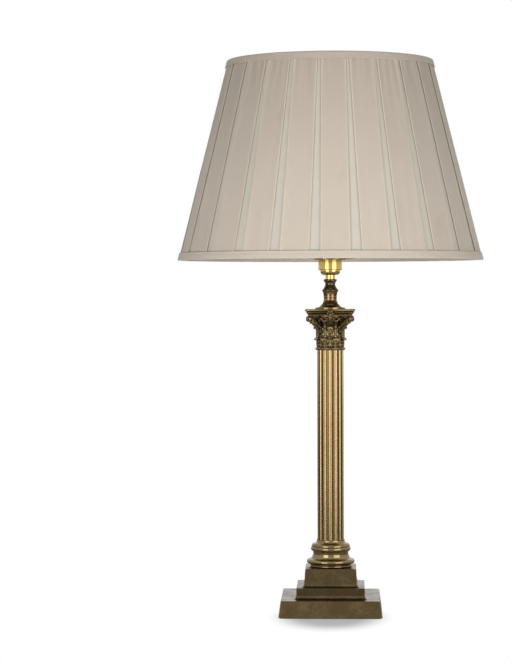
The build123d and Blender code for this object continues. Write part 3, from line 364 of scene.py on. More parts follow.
def wovenGroup():
    # Plain weave on the piece's own UV, with slubs and a slow drift of shade.
    tree, source, result = newGroup(
        "plainWeave",
        [("UV", "NodeSocketVector", (0, 0, 0)),
         ("Place", "NodeSocketVector", (0, 0, 0)),
         ("Threads per Metre", "NodeSocketFloat", 2400.0),
         ("Light", "NodeSocketColor", (0.7, 0.6, 0.5, 1)),
         ("Dark", "NodeSocketColor", (0.5, 0.43, 0.35, 1)),
         ("Slub Amount", "NodeSocketFloat", 0.4)],
        [("Color", "NodeSocketColor"), ("Height", "NodeSocketFloat")])
    scaled = tree.nodes.new("ShaderNodeVectorMath")
    scaled.operation = "SCALE"
    tree.links.new(source.outputs["UV"], scaled.inputs[0])
    tree.links.new(source.outputs["Threads per Metre"], scaled.inputs["Scale"])
    split = splitNode(tree, scaled.outputs[0])
    across, along = (mathNode(tree, "SINE", mathNode(tree, "MULTIPLY", split[axis], math.pi))
                     for axis in "XY")
    weave = mathNode(tree, "MULTIPLY", across, along)
    stretch = tree.nodes.new("ShaderNodeMapping")
    stretch.inputs["Scale"].default_value = (900.0, 40.0, 1.0)
    tree.links.new(source.outputs["UV"], stretch.inputs["Vector"])
    slub = noiseNode(tree, stretch.outputs["Vector"], 1.0, 3.0)
    drift = noiseNode(tree, source.outputs["Place"], 9.0, 3.0)
    tone = mathNode(tree, "MULTIPLY_ADD", weave, 0.12, 0.3)
    slubbed = mathNode(tree, "SUBTRACT", slub, 0.5)
    tone = mathNode(tree, "MULTIPLY_ADD", slubbed, source.outputs["Slub Amount"], tone)
    tone = mathNode(tree, "MULTIPLY_ADD", mathNode(tree, "SUBTRACT", drift, 0.5), 0.7, tone, clamp=True)
    colour = mixColour(tree, tone, source.outputs["Light"], source.outputs["Dark"])
    height = mathNode(tree, "MULTIPLY_ADD", weave, 0.5, slub)
    tree.links.new(colour, result.inputs["Color"])
    tree.links.new(height, result.inputs["Height"])
    return tree


brassTarnish = tarnishGroup()
plainWeave = wovenGroup()


def newMaterial(name):
    material = bpy.data.materials.new(name)
    material.use_nodes = True
    tree = material.node_tree
    return material, tree, tree.nodes["Principled BSDF"], tree.nodes.new("ShaderNodeTexCoord")


def setSockets(node, values):
    for label, value in values.items():
        node.inputs[label].default_value = value


def groupNode(tree, group, values):
    node = tree.nodes.new("ShaderNodeGroup")
    node.node_tree = group
    setSockets(node, values)
    return node


def bumpInto(tree, shader, height, distance, strength=1.0):
    bump = tree.nodes.new("ShaderNodeBump")
    bump.inputs["Distance"].default_value = distance
    bump.inputs["Strength"].default_value = strength
    tree.links.new(height, bump.inputs["Height"])
    tree.links.new(bump.outputs["Normal"], shader.inputs["Normal"])


brassFinishes = {
    "castBrass": {
        "Brass": (0.135, 0.097, 0.047, 1), "Tarnish": (0.085, 0.06, 0.028, 1), "Red": (0.11, 0.056, 0.025, 1),
        "Cloud Scale": 45.0, "Tarnish Amount": 0.55, "Red Amount": 0.35, "Spot Amount": 0.5,
        "Low Roughness": 0.2, "High Roughness": 0.32, "grain": 0.04},
    "polishedBrass": {
        "Brass": (0.235, 0.172, 0.082, 1), "Tarnish": (0.128, 0.09, 0.042, 1), "Red": (0.215, 0.1, 0.047, 1),
        "Cloud Scale": 22.0, "Tarnish Amount": 0.4, "Red Amount": 0.3, "Spot Amount": 0.12,
        "Low Roughness": 0.14, "High Roughness": 0.22, "grain": 0.012},
    "flutedBrass": {
        "Brass": (0.365, 0.268, 0.13, 1), "Tarnish": (0.246, 0.176, 0.085, 1), "Red": (0.32, 0.167, 0.085, 1),
        "Cloud Scale": 16.0, "Tarnish Amount": 0.3, "Red Amount": 0.35, "Spot Amount": 0.03,
        "Low Roughness": 0.17, "High Roughness": 0.24, "grain": 0.008},
    "lacqueredBrass": {
        "Brass": (0.52, 0.375, 0.125, 1), "Tarnish": (0.37, 0.25, 0.08, 1), "Red": (0.36, 0.19, 0.06, 1),
        "Cloud Scale": 40.0, "Tarnish Amount": 0.25, "Red Amount": 0.1, "Spot Amount": 0.1,
        "Low Roughness": 0.1, "High Roughness": 0.17, "grain": 0.008},
    "turnedNeckBrass": {
        "Brass": (0.21, 0.152, 0.07, 1), "Tarnish": (0.115, 0.08, 0.036, 1), "Red": (0.175, 0.076, 0.032, 1),
        "Cloud Scale": 50.0, "Tarnish Amount": 0.45, "Red Amount": 0.4, "Spot Amount": 0.25,
        "Low Roughness": 0.15, "High Roughness": 0.28, "grain": 0.02},
}


def brassMaterial(name):
    values = dict(brassFinishes[name])
    grain = values.pop("grain")
    material, tree, shader, place = newMaterial(name)
    age = groupNode(tree, brassTarnish, values)
    tree.links.new(place.outputs["Object"], age.inputs["Vector"])
    tree.links.new(age.outputs["Color"], shader.inputs["Base Color"])
    tree.links.new(age.outputs["Roughness"], shader.inputs["Roughness"])
    shader.inputs["Metallic"].default_value = 1.0
    bumpInto(tree, shader, age.outputs["Height"], grain * mm)
    return material


brass = {name: brassMaterial(name) for name in brassFinishes}

fillets = {"depth": 0.5 * mm, "edge": 0.12 * mm, "amount": 0.92, "colour": (0.09, 0.052, 0.022, 1)}


def darkenFillets(material, shaft):
    # The narrow fillets between the flutes are darker, and the hollows keep the plain brass colour.
    reach = max(math.hypot(point.co.x, point.co.y) for point in shaft.data.vertices)
    tree = material.node_tree
    shader = [node for node in tree.nodes if node.type == "BSDF_PRINCIPLED"][0]
    place = [node for node in tree.nodes if node.type == "TEX_COORD"][0]
    polished = shader.inputs["Base Color"].links[0].from_socket
    split = splitNode(tree, place.outputs["Object"])
    squared = mathNode(tree, "MULTIPLY", split["Y"], split["Y"])
    squared = mathNode(tree, "MULTIPLY_ADD", split["X"], split["X"], squared)
    out = mathNode(tree, "SQRT", squared)
    proud = rangeNode(tree, out, reach - fillets["depth"], reach - fillets["edge"], 0.0, fillets["amount"])
    tree.links.new(mixColour(tree, proud, polished, fillets["colour"]), shader.inputs["Base Color"])


darkenFillets(brass["flutedBrass"], nodes["fluted_shaft"])


mottledFinishes = {
    "castIron": {"light": (0.05, 0.048, 0.045, 1), "dark": (0.022, 0.02, 0.018, 1), "scale": 90.0,
                 "rough": 0.6, "metallic": 0.6, "bump": 0.15},
    "zincSteel": {"light": (0.52, 0.53, 0.54, 1), "dark": (0.36, 0.37, 0.38, 1), "scale": 160.0,
                  "rough": 0.3, "metallic": 1.0, "bump": 0.01},
    "fibreBoard": {"light": (0.27, 0.19, 0.11, 1), "dark": (0.16, 0.11, 0.06, 1), "scale": 300.0,
                   "rough": 0.85, "metallic": 0.0, "bump": 0.05},
    "brownPhenolic": {"light": (0.055, 0.028, 0.016, 1), "dark": (0.03, 0.015, 0.01, 1), "scale": 120.0,
                      "rough": 0.4, "metallic": 0.0, "bump": 0.02},
    "whiteEnamelWire": {"light": (0.72, 0.7, 0.66, 1), "dark": (0.55, 0.52, 0.46, 1), "scale": 60.0,
                        "rough": 0.38, "metallic": 0.0, "bump": 0.02},
    "drawnAluminium": {"light": (0.62, 0.62, 0.61, 1), "dark": (0.45, 0.45, 0.45, 1), "scale": 200.0,
                       "rough": 0.3, "metallic": 1.0, "bump": 0.01},
    "solder": {"light": (0.5, 0.5, 0.51, 1), "dark": (0.35, 0.35, 0.36, 1), "scale": 400.0,
               "rough": 0.35, "metallic": 1.0, "bump": 0.02},
}


def mottledMaterial(name):
    values = mottledFinishes[name]
    rough = values["rough"]
    material, tree, shader, place = newMaterial(name)
    cloud = noiseNode(tree, place.outputs["Object"], values["scale"], 6.0, 0.6)
    fine = noiseNode(tree, place.outputs["Object"], values["scale"] * 9, 3.0)
    blended = mathNode(tree, "MULTIPLY_ADD", fine, 0.4, mathNode(tree, "MULTIPLY", cloud, 0.6))
    mask = rangeNode(tree, blended, 0.38, 0.62)
    tree.links.new(mixColour(tree, mask, values["light"], values["dark"]), shader.inputs["Base Color"])
    roughness = rangeNode(tree, mask, 0.0, 1.0, rough, min(rough + 0.12, 1.0))
    tree.links.new(roughness, shader.inputs["Roughness"])
    shader.inputs["Metallic"].default_value = values["metallic"]
    bumpInto(tree, shader, fine, values["bump"] * mm)
    return material


mottled = {name: mottledMaterial(name) for name in mottledFinishes}


def frostedGlass():
    material, tree, shader, place = newMaterial("pearlGlass")
    haze = noiseNode(tree, place.outputs["Object"], 220.0, 3.0)
    hazed = mixColour(tree, haze, (0.93, 0.93, 0.91, 1), (0.86, 0.86, 0.83, 1))
    tree.links.new(hazed, shader.inputs["Base Color"])
    tree.links.new(rangeNode(tree, haze, 0.3, 0.7, 0.4, 0.55), shader.inputs["Roughness"])
    setSockets(shader, {"Transmission Weight": 0.85, "IOR": 1.3})
    return material


pearlFinish = frostedGlass()


clothFinishes = {
    "pleatedCloth": {"Light": (0.71, 0.622, 0.52, 1), "Dark": (0.61, 0.53, 0.437, 1),
                     "Threads per Metre": 3200.0, "Slub Amount": 0.5},
    "bandCloth": {"Light": (0.72, 0.63, 0.53, 1), "Dark": (0.6, 0.52, 0.43, 1),
                  "Threads per Metre": 3200.0, "Slub Amount": 0.4},
    "liningCloth": {"Light": (0.8, 0.755, 0.66, 1), "Dark": (0.7, 0.65, 0.56, 1),
                    "Threads per Metre": 3600.0, "Slub Amount": 0.3},
}
clothAgeAndShade = {
    "stain": {"scale": 17.0, "from": 0.62, "to": 0.78, "amount": 0.25, "colour": (0.5, 0.38, 0.24, 1)},
    "specks": {"scale": 14.0, "from": 0.012, "to": 0.022, "amount": 0.55, "colour": (0.33, 0.22, 0.12, 1)},
    # Painted shade: how much darker the cloth is painted towards the top.
    "paintedTopShade": {"from": 0.52, "to": 0.718, "amount": 0.34, "colour": (0.4, 0.335, 0.26, 1)},
    # Tones that follow the folds: the paler strips, a painted highlight on the folded edges and painted shade
    # under them.
    "folds": {"X": (0.55, (0.72, 0.69, 0.6, 1)), "Y": (0.7, (0.86, 0.77, 0.58, 1)),
              "Z": (0.5, (0.3, 0.24, 0.17, 1))},
    "surface": {"Roughness": 0.82, "Sheen Weight": 0.25, "Sheen Roughness": 0.5},
}


def clothMaterial(name):
    material, tree, shader, place = newMaterial(name)
    folds = tree.nodes.new("ShaderNodeAttribute")
    folds.attribute_name = "fold"
    foldTone = splitNode(tree, folds.outputs["Vector"])
    weave = groupNode(tree, plainWeave, clothFinishes[name])
    tree.links.new(place.outputs["UV"], weave.inputs["UV"])
    tree.links.new(place.outputs["Object"], weave.inputs["Place"])
    colour = weave.outputs["Color"]
    # A few faint marks that years have left, and below them a painted shade on the top.
    stain, specks, paintedTopShade = clothAgeAndShade["stain"], clothAgeAndShade["specks"], clothAgeAndShade["paintedTopShade"]
    stained = noiseNode(tree, place.outputs["Object"], stain["scale"], 2.0)
    stained = rangeNode(tree, stained, stain["from"], stain["to"], 0.0, stain["amount"])
    colour = mixColour(tree, stained, colour, stain["colour"])
    cells = cellNode(tree, place.outputs["Object"], specks["scale"])
    specked = rangeNode(tree, cells, specks["from"], specks["to"], specks["amount"], 0.0)
    colour = mixColour(tree, specked, colour, specks["colour"])
    # Painted shade: the cloth is painted darker towards the shade's top, where less light falls, and its foot
    # is left paler.
    height = splitNode(tree, place.outputs["Object"])["Z"]
    topShaded = rangeNode(tree, height, paintedTopShade["from"], paintedTopShade["to"], 0.0, paintedTopShade["amount"])
    colour = mixColour(tree, topShaded, colour, paintedTopShade["colour"])
    # The strips between the panels are made paler, the folded edges get a painted highlight where light would
    # shine through, and the cloth under the folds gets painted shade.
    for part, (amount, tone) in clothAgeAndShade["folds"].items():
        colour = mixColour(tree, mathNode(tree, "MULTIPLY", foldTone[part], amount), colour, tone)
    tree.links.new(colour, shader.inputs["Base Color"])
    setSockets(shader, clothAgeAndShade["surface"])
    bumpInto(tree, shader, weave.outputs["Height"], 0.04 * mm, 0.6)
    return material


cloth = {name: clothMaterial(name) for name in clothFinishes}


def baizeMaterial():
    material, tree, shader, place = newMaterial("greenBaize")
    fibre = noiseNode(tree, place.outputs["Object"], 1800.0, 4.0, 0.7)
    patch = noiseNode(tree, place.outputs["Object"], 70.0, 3.0)
    colour = mixColour(tree, fibre, (0.02, 0.075, 0.035, 1), (0.045, 0.14, 0.07, 1))
    colour = mixColour(tree, rangeNode(tree, patch, 0.45, 0.75, 0.0, 0.3), colour, (0.08, 0.11, 0.06, 1))
    tree.links.new(colour, shader.inputs["Base Color"])
    setSockets(shader, {"Roughness": 0.95, "Sheen Weight": 0.3})
    bumpInto(tree, shader, fibre, 0.15 * mm)
    return material


baizeFinish = baizeMaterial()
print("materials made")


# Finishes of the CAD pieces that are shown as they are.

nodesOfFinish = [
    (brass["castBrass"], ["plinth", "cord_bush", "bush_nut", "capital"]),
    (brass["polishedBrass"], ["column_foot"]),
    (brass["flutedBrass"], ["fluted_shaft"]),
    (brass["turnedNeckBrass"], ["lamp_neck"]),
    (brass["lacqueredBrass"], ["holder_cap", "holder_barrel", "shade_ring_lower", "shade_ring_upper",
                               "carrier_plate", "carrier_arms", "carrier_gallery", "terminal_posts",
                               "contact_plungers", "earth_tag"]),
    (mottled["castIron"], ["ballast_weight"]),
    (mottled["zincSteel"], ["clamp_rod", "rod_washer", "rod_nut", "terminal_screws", "plunger_springs",
                            "bulb_filament"]),
    (mottled["fibreBoard"], ["cover_board"]),
    (mottled["brownPhenolic"], ["holder_insulator"]),
    (mottled["whiteEnamelWire"], ["duplex_ring", "duplex_arms", "frame_top_ring", "frame_bottom_ring",
                                  "frame_struts"]),
    (mottled["drawnAluminium"], ["bulb_cap"]),
    (mottled["solder"], ["bulb_contacts"]),
    (pearlFinish, ["bulb_glass", "bulb_stem"]),
]
for finish, names in nodesOfFinish:
    for name in names:
        for slot in nodes[name].material_slots:
            slot.material = finish
print("finishes on the CAD pieces")


# The carved capital.

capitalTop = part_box("capital")[1][2]
carving = {
    "tall": 53.4 * mm,          # from the shaft's top to the top of the abacus
    "bell": 16.6 * mm,
    "bellLip": 23.5 * mm,
    "flareFrom": 27 * mm,
    "flareTall": 18 * mm,
    "flarePower": 1.9,
    "ring": 19.7 * mm,          # the astragal's reach
    "ringHalf": 1.9 * mm,
    "abacusBase": 45.0 * mm,
    "bore": 5.4 * mm,
    "core": 11.5 * mm,
    "coreTop": 41 * mm,
    "spigot": 14.2 * mm,
    "spigotFoot": -7.9 * mm,
    "hornReach": 44.8 * mm,
    "hornHalf": 1.25 * mm,
    "waist": 25.0 * mm,
    "sideSteps": 37,
}
leaf = {
    "count": 8,
    "lobes": 3,
    "lobePitch": 1.22,
    "columns": 30,
    "rows": 46,
    "wall": 1.2 * mm,
    "slack": 0.35 * mm,
    "roll": math.radians(225),  # how far the tip curls over
    "vein": 0.34 * mm,
    "fineVein": 0.12 * mm,
    "rib": 0.3 * mm,
    "ribGroove": 0.22 * mm,
    "droop": 0.4 * mm,
    "lower": {"foot": 3.4 * mm, "tip": 15.4 * mm, "half": 7.4 * mm, "reach": 19.6 * mm, "stand": 1.7 * mm},
    "upper": {"foot": 6.0 * mm, "tip": 31.0 * mm, "half": 7.6 * mm, "reach": 20.1 * mm, "stand": 1.4 * mm},
}
# Places on the scroll are (out from the axis, above the shaft), in millimetres.
scroll = {
    "reach": 37.2 * mm,
    "rise": 40.6 * mm,
    "radius": 4.1 * mm,
    "start": (17.0 * mm, 21.0 * mm),
    "bendOut": 17.6 * mm,
    "stalkSteps": 16,
    "coilSteps": 44,
    "coilFrom": 96,             # degrees
    "coilTurn": 600,
    "drum": [(0.0, -3.0), (3.3, -3.0), (3.6, -2.6), (3.6, 2.6), (3.3, 3.0), (0.0, 3.0)],
    "drumSteps": 36,
    "web": [(16.0, 27.0), (21.0, 31.5), (27.0, 35.5), (33.0, 38.2), (37.0, 40.0)],
    "webThick": [7.5, 8.0, 7.5, 6.5, 5.0],
    "leaf": [(17.6, 20.5), (19.2, 25.5), (22.5, 29.5), (27.5, 33.0), (31.0, 35.0), (33.6, 35.6), (35.4, 35.5),
             (36.4, 35.0)],
    "leafWide": [5.4, 7.4, 9.0, 9.0, 7.8, 6.0, 4.2, 2.4],
    "leafThick": [1.8, 1.8, 1.8, 1.7, 1.6, 1.4, 1.2, 0.8],
}
shaftTop = capitalTop - carving["tall"]


def bellRadius(rise):
    # The bell is straight at first and flares out under the abacus.
    share = max(0.0, (rise - carving["flareFrom"]) / carving["flareTall"])
    flare = carving["bellLip"] - carving["bell"]
    return carving["bell"] + flare * min(share, 1.0) ** carving["flarePower"]


def smoothStep(value, low, high):
    share = min(max((value - low) / (high - low), 0.0), 1.0)
    return share * share * (3 - 2 * share)


def acanthusLeaf(name, values):
    # One leaf on the +X side: lobes along its edges, a rib, veins between them and a tip that curls over.
    rows, columns, lobes = leaf["rows"], leaf["columns"], leaf["lobes"]
    foot, stand = values["foot"], values["stand"]
    face = carving["bell"] + stand
    curl = (values["reach"] - face) / 2 + leaf["slack"]
    straight = values["tip"] - curl - foot
    total = straight + curl * leaf["roll"]
    points = []
    for row in range(rows + 1):
        share = row / rows
        run = share * total
        turned = max(run - straight, 0) / curl
        if run < straight:
            rise, out = foot + run, face
        else:
            rise = foot + straight + curl * math.sin(turned)
            out = face + curl * (1 - math.cos(turned))
        # The leaf swells above its foot, narrows to its tip and ends in a round.
        spread = 0.86 + 0.16 * math.sin(math.pi * min(share * 1.25, 1.0)) - 0.2 * smoothStep(share, 0.4, 0.75)
        spread *= math.sqrt(max(1 - max((share - 0.8) / 0.2, 0.0) ** 2.6, 0.03))
        lobe = share * lobes * leaf["lobePitch"]
        notch = (0.5 + 0.5 * math.cos(math.tau * lobe)) ** 3
        finger = (0.5 + 0.5 * math.cos(math.tau * lobe * 3)) ** 2
        width = values["half"] * spread * (1 - 0.2 * notch * (share > 0.04) - 0.07 * finger)
        for column in range(columns + 1):
            across = -1 + 2 * column / columns
            side = abs(across)
            vein = math.cos(math.tau * (lobe - 0.55 * side)) * smoothStep(side, 0.08, 0.4)
            fine = math.cos(math.tau * 3 * (lobe - 0.55 * side)) * smoothStep(side, 0.25, 0.7)
            rib = math.exp(-((side / (0.07 + 0.05 * (1 - share))) ** 2))
            groove = math.exp(-(((side - 0.17) / 0.05) ** 2))
            relief = stand * (0.12 - 0.42 * side ** 2.4) - leaf["vein"] * vein - leaf["fineVein"] * fine
            relief += leaf["rib"] * rib * (1 - share) - leaf["ribGroove"] * groove
            facing = min(turned, math.pi / 1.5)
            radius = out + relief * math.cos(facing)
            lift = rise + relief * math.sin(facing) - leaf["droop"] * side ** 2 * share ** 3
            angle = across * width / (out + 0.5 * mm)
            points.append(onCircle(radius, angle, shaftTop + lift))
    piece = makeMesh(name, points, gridFaces(rows + 1, columns + 1))
    wall = piece.modifiers.new("wall", "SOLIDIFY")
    wall.thickness = leaf["wall"]
    wall.offset = -1 if piece.data.polygons[0].normal.x > 0 else 1
    plainMesh(piece)
    return outward(piece)


def sweptBar(name, path, widths, thicks, grooves=0):
    # A bar along a path in the XZ plane: rounded section, width along Y, thickness across the path.
    around = 20
    up = Vector((0, 1, 0))
    points = []
    for place, (x, z) in enumerate(path):
        before, after = path[max(place - 1, 0)], path[min(place + 1, len(path) - 1)]
        along = Vector((after[0] - before[0], 0, after[1] - before[1])).normalized()
        side = along.cross(up)
        for step in range(around):
            angle = math.tau * step / around
            c, s = math.cos(angle), math.sin(angle)
            across = math.copysign(abs(c) ** 0.6, c) * widths[place] / 2
            through = math.copysign(abs(s) ** 0.6, s) * thicks[place] / 2
            through *= 1 - 0.35 * grooves * math.exp(-((c / 0.35) ** 2)) * (s > 0)
            points.append(tuple(Vector((x, 0, shaftTop + z)) + up * across + side * through))
    return outward(makeMesh(name, points, tubeFaces(len(path), around)))


def cornerScroll():
    # The stalk leaves the bell, bends out under the horn and winds into its eye.
    reach, rise, radius = scroll["reach"], scroll["rise"], scroll["radius"]
    start = scroll["start"]
    control = (scroll["bendOut"], rise + 0.2 * mm)
    end = (reach - 1.0 * mm, rise + radius - 0.6 * mm)
    path, widths, thicks = [], [], []
    for step in range(scroll["stalkSteps"]):
        share = step / scroll["stalkSteps"]
        early, mid, late = (1 - share) ** 2, 2 * share * (1 - share), share ** 2
        path.append((early * start[0] + mid * control[0] + late * end[0],
                     early * start[1] + mid * control[1] + late * end[1]))
        widths.append((4.0 + 3.0 * share) * mm)
        thicks.append((1.6 - 0.4 * share) * mm)
    for step in range(scroll["coilSteps"]):
        share = step / (scroll["coilSteps"] - 1)
        angle = math.radians(scroll["coilFrom"] - scroll["coilTurn"] * share)
        reel = (radius - 0.6 * mm) * (1 - share) ** 0.85 + 0.35 * mm
        path.append((reach + reel * math.cos(angle), rise + reel * math.sin(angle)))
        widths.append((7.0 + 1.6 * share) * mm)
        thicks.append((1.2 - 0.25 * share) * mm)
    ribbon = sweptBar("scrollRibbon", path, widths, thicks, grooves=1)
    points = []
    count = scroll["drumSteps"]
    for out, across in inMillimetres(scroll["drum"]):
        for step in range(count):
            angle = math.tau * step / count
            points.append((reach + out * math.cos(angle), across, shaftTop + rise + out * math.sin(angle)))
    drum = outward(makeMesh("scrollDrum", points, gridFaces(len(scroll["drum"]), count, closed=True)))
    webThick = [value * mm for value in scroll["webThick"]]
    web = sweptBar("scrollWeb", inMillimetres(scroll["web"]), [5.4 * mm] * len(webThick), webThick)
    # A small leaf lies along the underside of the stalk.
    leafWide, leafThick = ([value * mm for value in scroll[key]] for key in ("leafWide", "leafThick"))
    tuck = sweptBar("scrollLeaf", inMillimetres(scroll["leaf"]), leafWide, leafThick, grooves=-0.6)
    return joined("cornerScroll", [ribbon, drum, web, tuck])


stem = {
    "foot": 16.5,               # millimetres above the shaft
    "tall": 22.0,
    "rows": 26,
    "around": 24,
    "grooves": 7,
    "tendrilSteps": 30,
    "tendrilAround": 10,
    "stalkShare": 0.45,         # of the tendril, before it winds up
    "coilTurn": 420,            # degrees
}


def tendril(side):
    # A flat tendril rises from the cup, leans to one side and winds up.
    path, points = [], []
    for step in range(stem["tendrilSteps"]):
        share = step / (stem["tendrilSteps"] - 1)
        if share < stem["stalkShare"]:
            part = share / stem["stalkShare"]
            across, rise = 0.6 + 3.9 * part, 36.5 + 5.2 * math.sin(part * math.pi / 2)
        else:
            part = (share - stem["stalkShare"]) / (1 - stem["stalkShare"])
            reel = 1.9 * (1 - part) ** 0.8 + 0.3
            angle = math.radians(90 - stem["coilTurn"] * part)
            across, rise = 4.5 + reel * math.cos(angle), 39.8 + reel * math.sin(angle)
        path.append((side * across * mm, rise * mm))
    around = stem["tendrilAround"]
    for place, (across, rise) in enumerate(path):
        before, after = path[max(place - 1, 0)], path[min(place + 1, len(path) - 1)]
        along = Vector((0, after[0] - before[0], after[1] - before[1])).normalized()
        normal = Vector((1, 0, 0)).cross(along)
        out = bellRadius(rise)
        spin = Matrix.Rotation(across / (out + 1.5 * mm), 3, "Z")
        for step in range(around):
            angle = math.tau * step / around
            offset = Vector((1, 0, 0)) * math.cos(angle) * 1.1 * mm + normal * math.sin(angle) * 0.62 * mm
            flat = Vector((out + 1.3 * mm + offset.x, offset.y, shaftTop + rise + offset.z))
            points.append(tuple(spin @ flat))
    return outward(makeMesh("tendril", points, tubeFaces(len(path), around)))


def sheathStem():
    # A grooved stem that widens into a cup, with a tendril bending to each side from its mouth.
    rows, around = stem["rows"], stem["around"]
    points = []
    for row in range(rows + 1):
        share = row / rows
        rise = (stem["foot"] + stem["tall"] * share) * mm
        girth = (1.15 + 1.05 * share ** 1.6 + 0.55 * smoothStep(share, 0.86, 1.0)) * mm
        girth *= 1 + 0.16 * math.exp(-(((share - 0.62) / 0.045) ** 2))
        middle = bellRadius(rise) + 0.55 * mm + 0.5 * girth
        for step in range(around):
            angle = math.tau * step / around
            groove = 1 - 0.1 * (0.5 + 0.5 * math.cos(angle * stem["grooves"] + share * 1.2)) ** 2
            points.append((middle + girth * groove * math.cos(angle), girth * 1.25 * groove * math.sin(angle),
                           shaftTop + rise))
    cup = outward(makeMesh("stem", points, tubeFaces(rows + 1, around)))
    return joined("sheathStem", [cup, tendril(-1), tendril(1)])


flower = {
    "rings": 12,
    "around": 60,
    "back": 3.0 * mm,
    "fleuron": {"reach": 24.8 * mm, "rise": 48.6 * mm, "radius": 5.2 * mm, "petals": 5, "tall": 1.9 * mm,
                "turn": math.pi / 2},
    "boss": {"reach": 20.2 * mm, "rise": 36.6 * mm, "radius": 3.1 * mm, "petals": 6, "tall": 1.7 * mm,
             "turn": 0.0},
    "bead": {"reach": 19.0 * mm, "rise": 28.6 * mm, "radius": 2.0 * mm, "petals": 1, "tall": 1.9 * mm,
             "turn": 0.0},
    "stalk": [(17.4, 14.0), (18.0, 26.0), (18.6, 33.0), (22.0, 41.0), (24.6, 46.5)],
    "stalkWide": [2.0, 2.2, 2.2, 2.4, 3.0],
    "stalkThick": 2.2 * mm,
}


def petalDisc(name, values):
    # A flower facing +X: domed petals round a button.
    rings, around, tall = flower["rings"], flower["around"], values["tall"]
    middle = shaftTop + values["rise"]

    def petalAt(step):
        angle = math.tau * step / around
        petal = 0.5 + 0.5 * math.cos(values["petals"] * (angle + values["turn"]))
        return angle, petal, values["radius"] * (0.76 + 0.24 * petal ** 0.6)

    points = []
    for ring in range(rings + 1):
        share = ring / rings
        for step in range(around):
            angle, petal, edge = petalAt(step)
            dome = 0.45 + 0.5 * math.sin(math.pi * share) * (0.55 + 0.45 * petal)
            out = tall * dome * (1 - smoothStep(share, 0.8, 1.0))
            out += tall * 0.8 * math.exp(-((share / 0.24) ** 2))
            points.append((values["reach"] + out, edge * share * math.cos(angle),
                           middle + edge * share * math.sin(angle)))
    for step in range(around):
        angle, petal, edge = petalAt(step)
        edge *= 0.94
        points.append((values["reach"] - flower["back"], edge * math.cos(angle),
                       middle + edge * math.sin(angle)))
    faces = gridFaces(rings + 2, around, closed=True)
    faces.append(tuple((rings + 1) * around + step for step in range(around)))
    return outward(makeMesh(name, points, faces))


def sideFlower():
    discs = [petalDisc(name, flower[name]) for name in ("fleuron", "boss", "bead")]
    wide = [value * mm for value in flower["stalkWide"]]
    stalk = sweptBar("stalk", inMillimetres(flower["stalk"]), wide, [flower["stalkThick"]] * len(wide))
    return joined("sideFlower", discs + [stalk])


# The abacus's moulding from its underside up: (inset from the horns, above its base), in millimetres.
abacusMoulding = [(5.6, 0.0), (5.0, 0.05), (4.85, 0.7), (4.4, 1.8), (3.6, 2.9), (2.6, 3.7), (1.7, 4.1),
                  (1.4, 4.35), (1.5, 4.65), (1.9, 4.8), (2.4, 4.9), (2.45, 5.6), (1.9, 5.75), (0.9, 5.95),
                  (0.3, 6.35), (0.05, 6.9), (0.0, 7.5), (0.2, 8.05), (0.7, 8.35), (1.3, 8.4)]


def hollowSquare(inset):
    # The abacus's outline: four hollow sides between cut-off horns.
    reach = carving["hornReach"] - inset
    half = max(carving["hornHalf"] - inset * 0.12, 0.4 * mm)
    waist = carving["waist"] - inset / 2
    steps = carving["sideSteps"]
    outline = []
    for side in range(4):
        turn = math.radians(45 + 90 * side)
        out, across = Vector((math.cos(turn), math.sin(turn))), Vector((-math.sin(turn), math.cos(turn)))
        nextTurn = turn + math.pi / 2
        nextOut = Vector((math.cos(nextTurn), math.sin(nextTurn)))
        nextAcross = Vector((-math.sin(nextTurn), math.cos(nextTurn)))
        middleTurn = turn + math.pi / 4
        first, last = out * reach + across * half, nextOut * reach - nextAcross * half
        middle = Vector((math.cos(middleTurn), math.sin(middleTurn))) * waist
        outline += [out * reach - across * half, out * (reach + 0.15 * mm)]
        for step in range(steps):
            share = step / steps
            outline.append(first * (1 - share) * (1 - 2 * share) + middle * 4 * share * (1 - share)
                           + last * share * (2 * share - 1))
    return outline


def abacusSlab():
    rings = [hollowSquare(inset * mm) for inset, _ in abacusMoulding]
    count = len(rings[0])
    bore = [spot.normalized() * carving["bore"] for spot in rings[0]]
    heights = [height for _, height in abacusMoulding]
    levels = [0.0] + heights + [heights[-1]]
    points = []
    for ring, level in zip([bore] + rings + [bore], levels):
        points += [(spot.x, spot.y, shaftTop + carving["abacusBase"] + level * mm) for spot in ring]
    return outward(makeMesh("abacus", points, loopFaces(len(levels), count)))


def bellCore():
    bell, rim, half, bore = carving["bell"], carving["ring"], carving["ringHalf"], carving["bore"]
    top = carving["abacusBase"] + 0.3 * mm
    profile = [(carving["spigot"], carving["spigotFoot"]), (carving["spigot"], 0.0)]
    profile.append((rim - 1.6 * mm, 0.02 * mm))
    for step in range(13):
        angle = math.radians(-75 + 150 * step / 12)
        profile.append((rim - half + half * math.cos(angle), half + 1.85 * mm * math.sin(angle)))
    profile += [(bell + 1.6 * mm, 3.8 * mm), (bell + 0.5 * mm, 4.2 * mm), (bell, 5.0 * mm)]
    profile += [(bellRadius(rise * mm), rise * mm) for rise in range(8, 46, 2)]
    profile += [(bellRadius(carving["abacusBase"]), top), (bore, top), (bore, carving["coreTop"]),
                (carving["core"], carving["coreTop"]), (carving["core"], carving["spigotFoot"])]
    return lathe("bellCore", [(radius, shaftTop + rise) for radius, rise in profile], 128)


carvedAgeAndHighlight = {
    # Painted highlight, partly rubbed wear: the lighter colour on the ridges.
    "bright": (0.26, 0.19, 0.092, 1),
    "brightFrom": 0.6,
    "brightTo": 0.9,
    "hollow": (0.028, 0.02, 0.01, 1),
    "hollowFrom": 0.05,
    "hollowTo": 0.46,
    "hollowAmount": 0.88,
    "rougher": 0.25,
    "bump": 0.06 * mm,
    "ridgeSpread": 0.12 * mm,
}


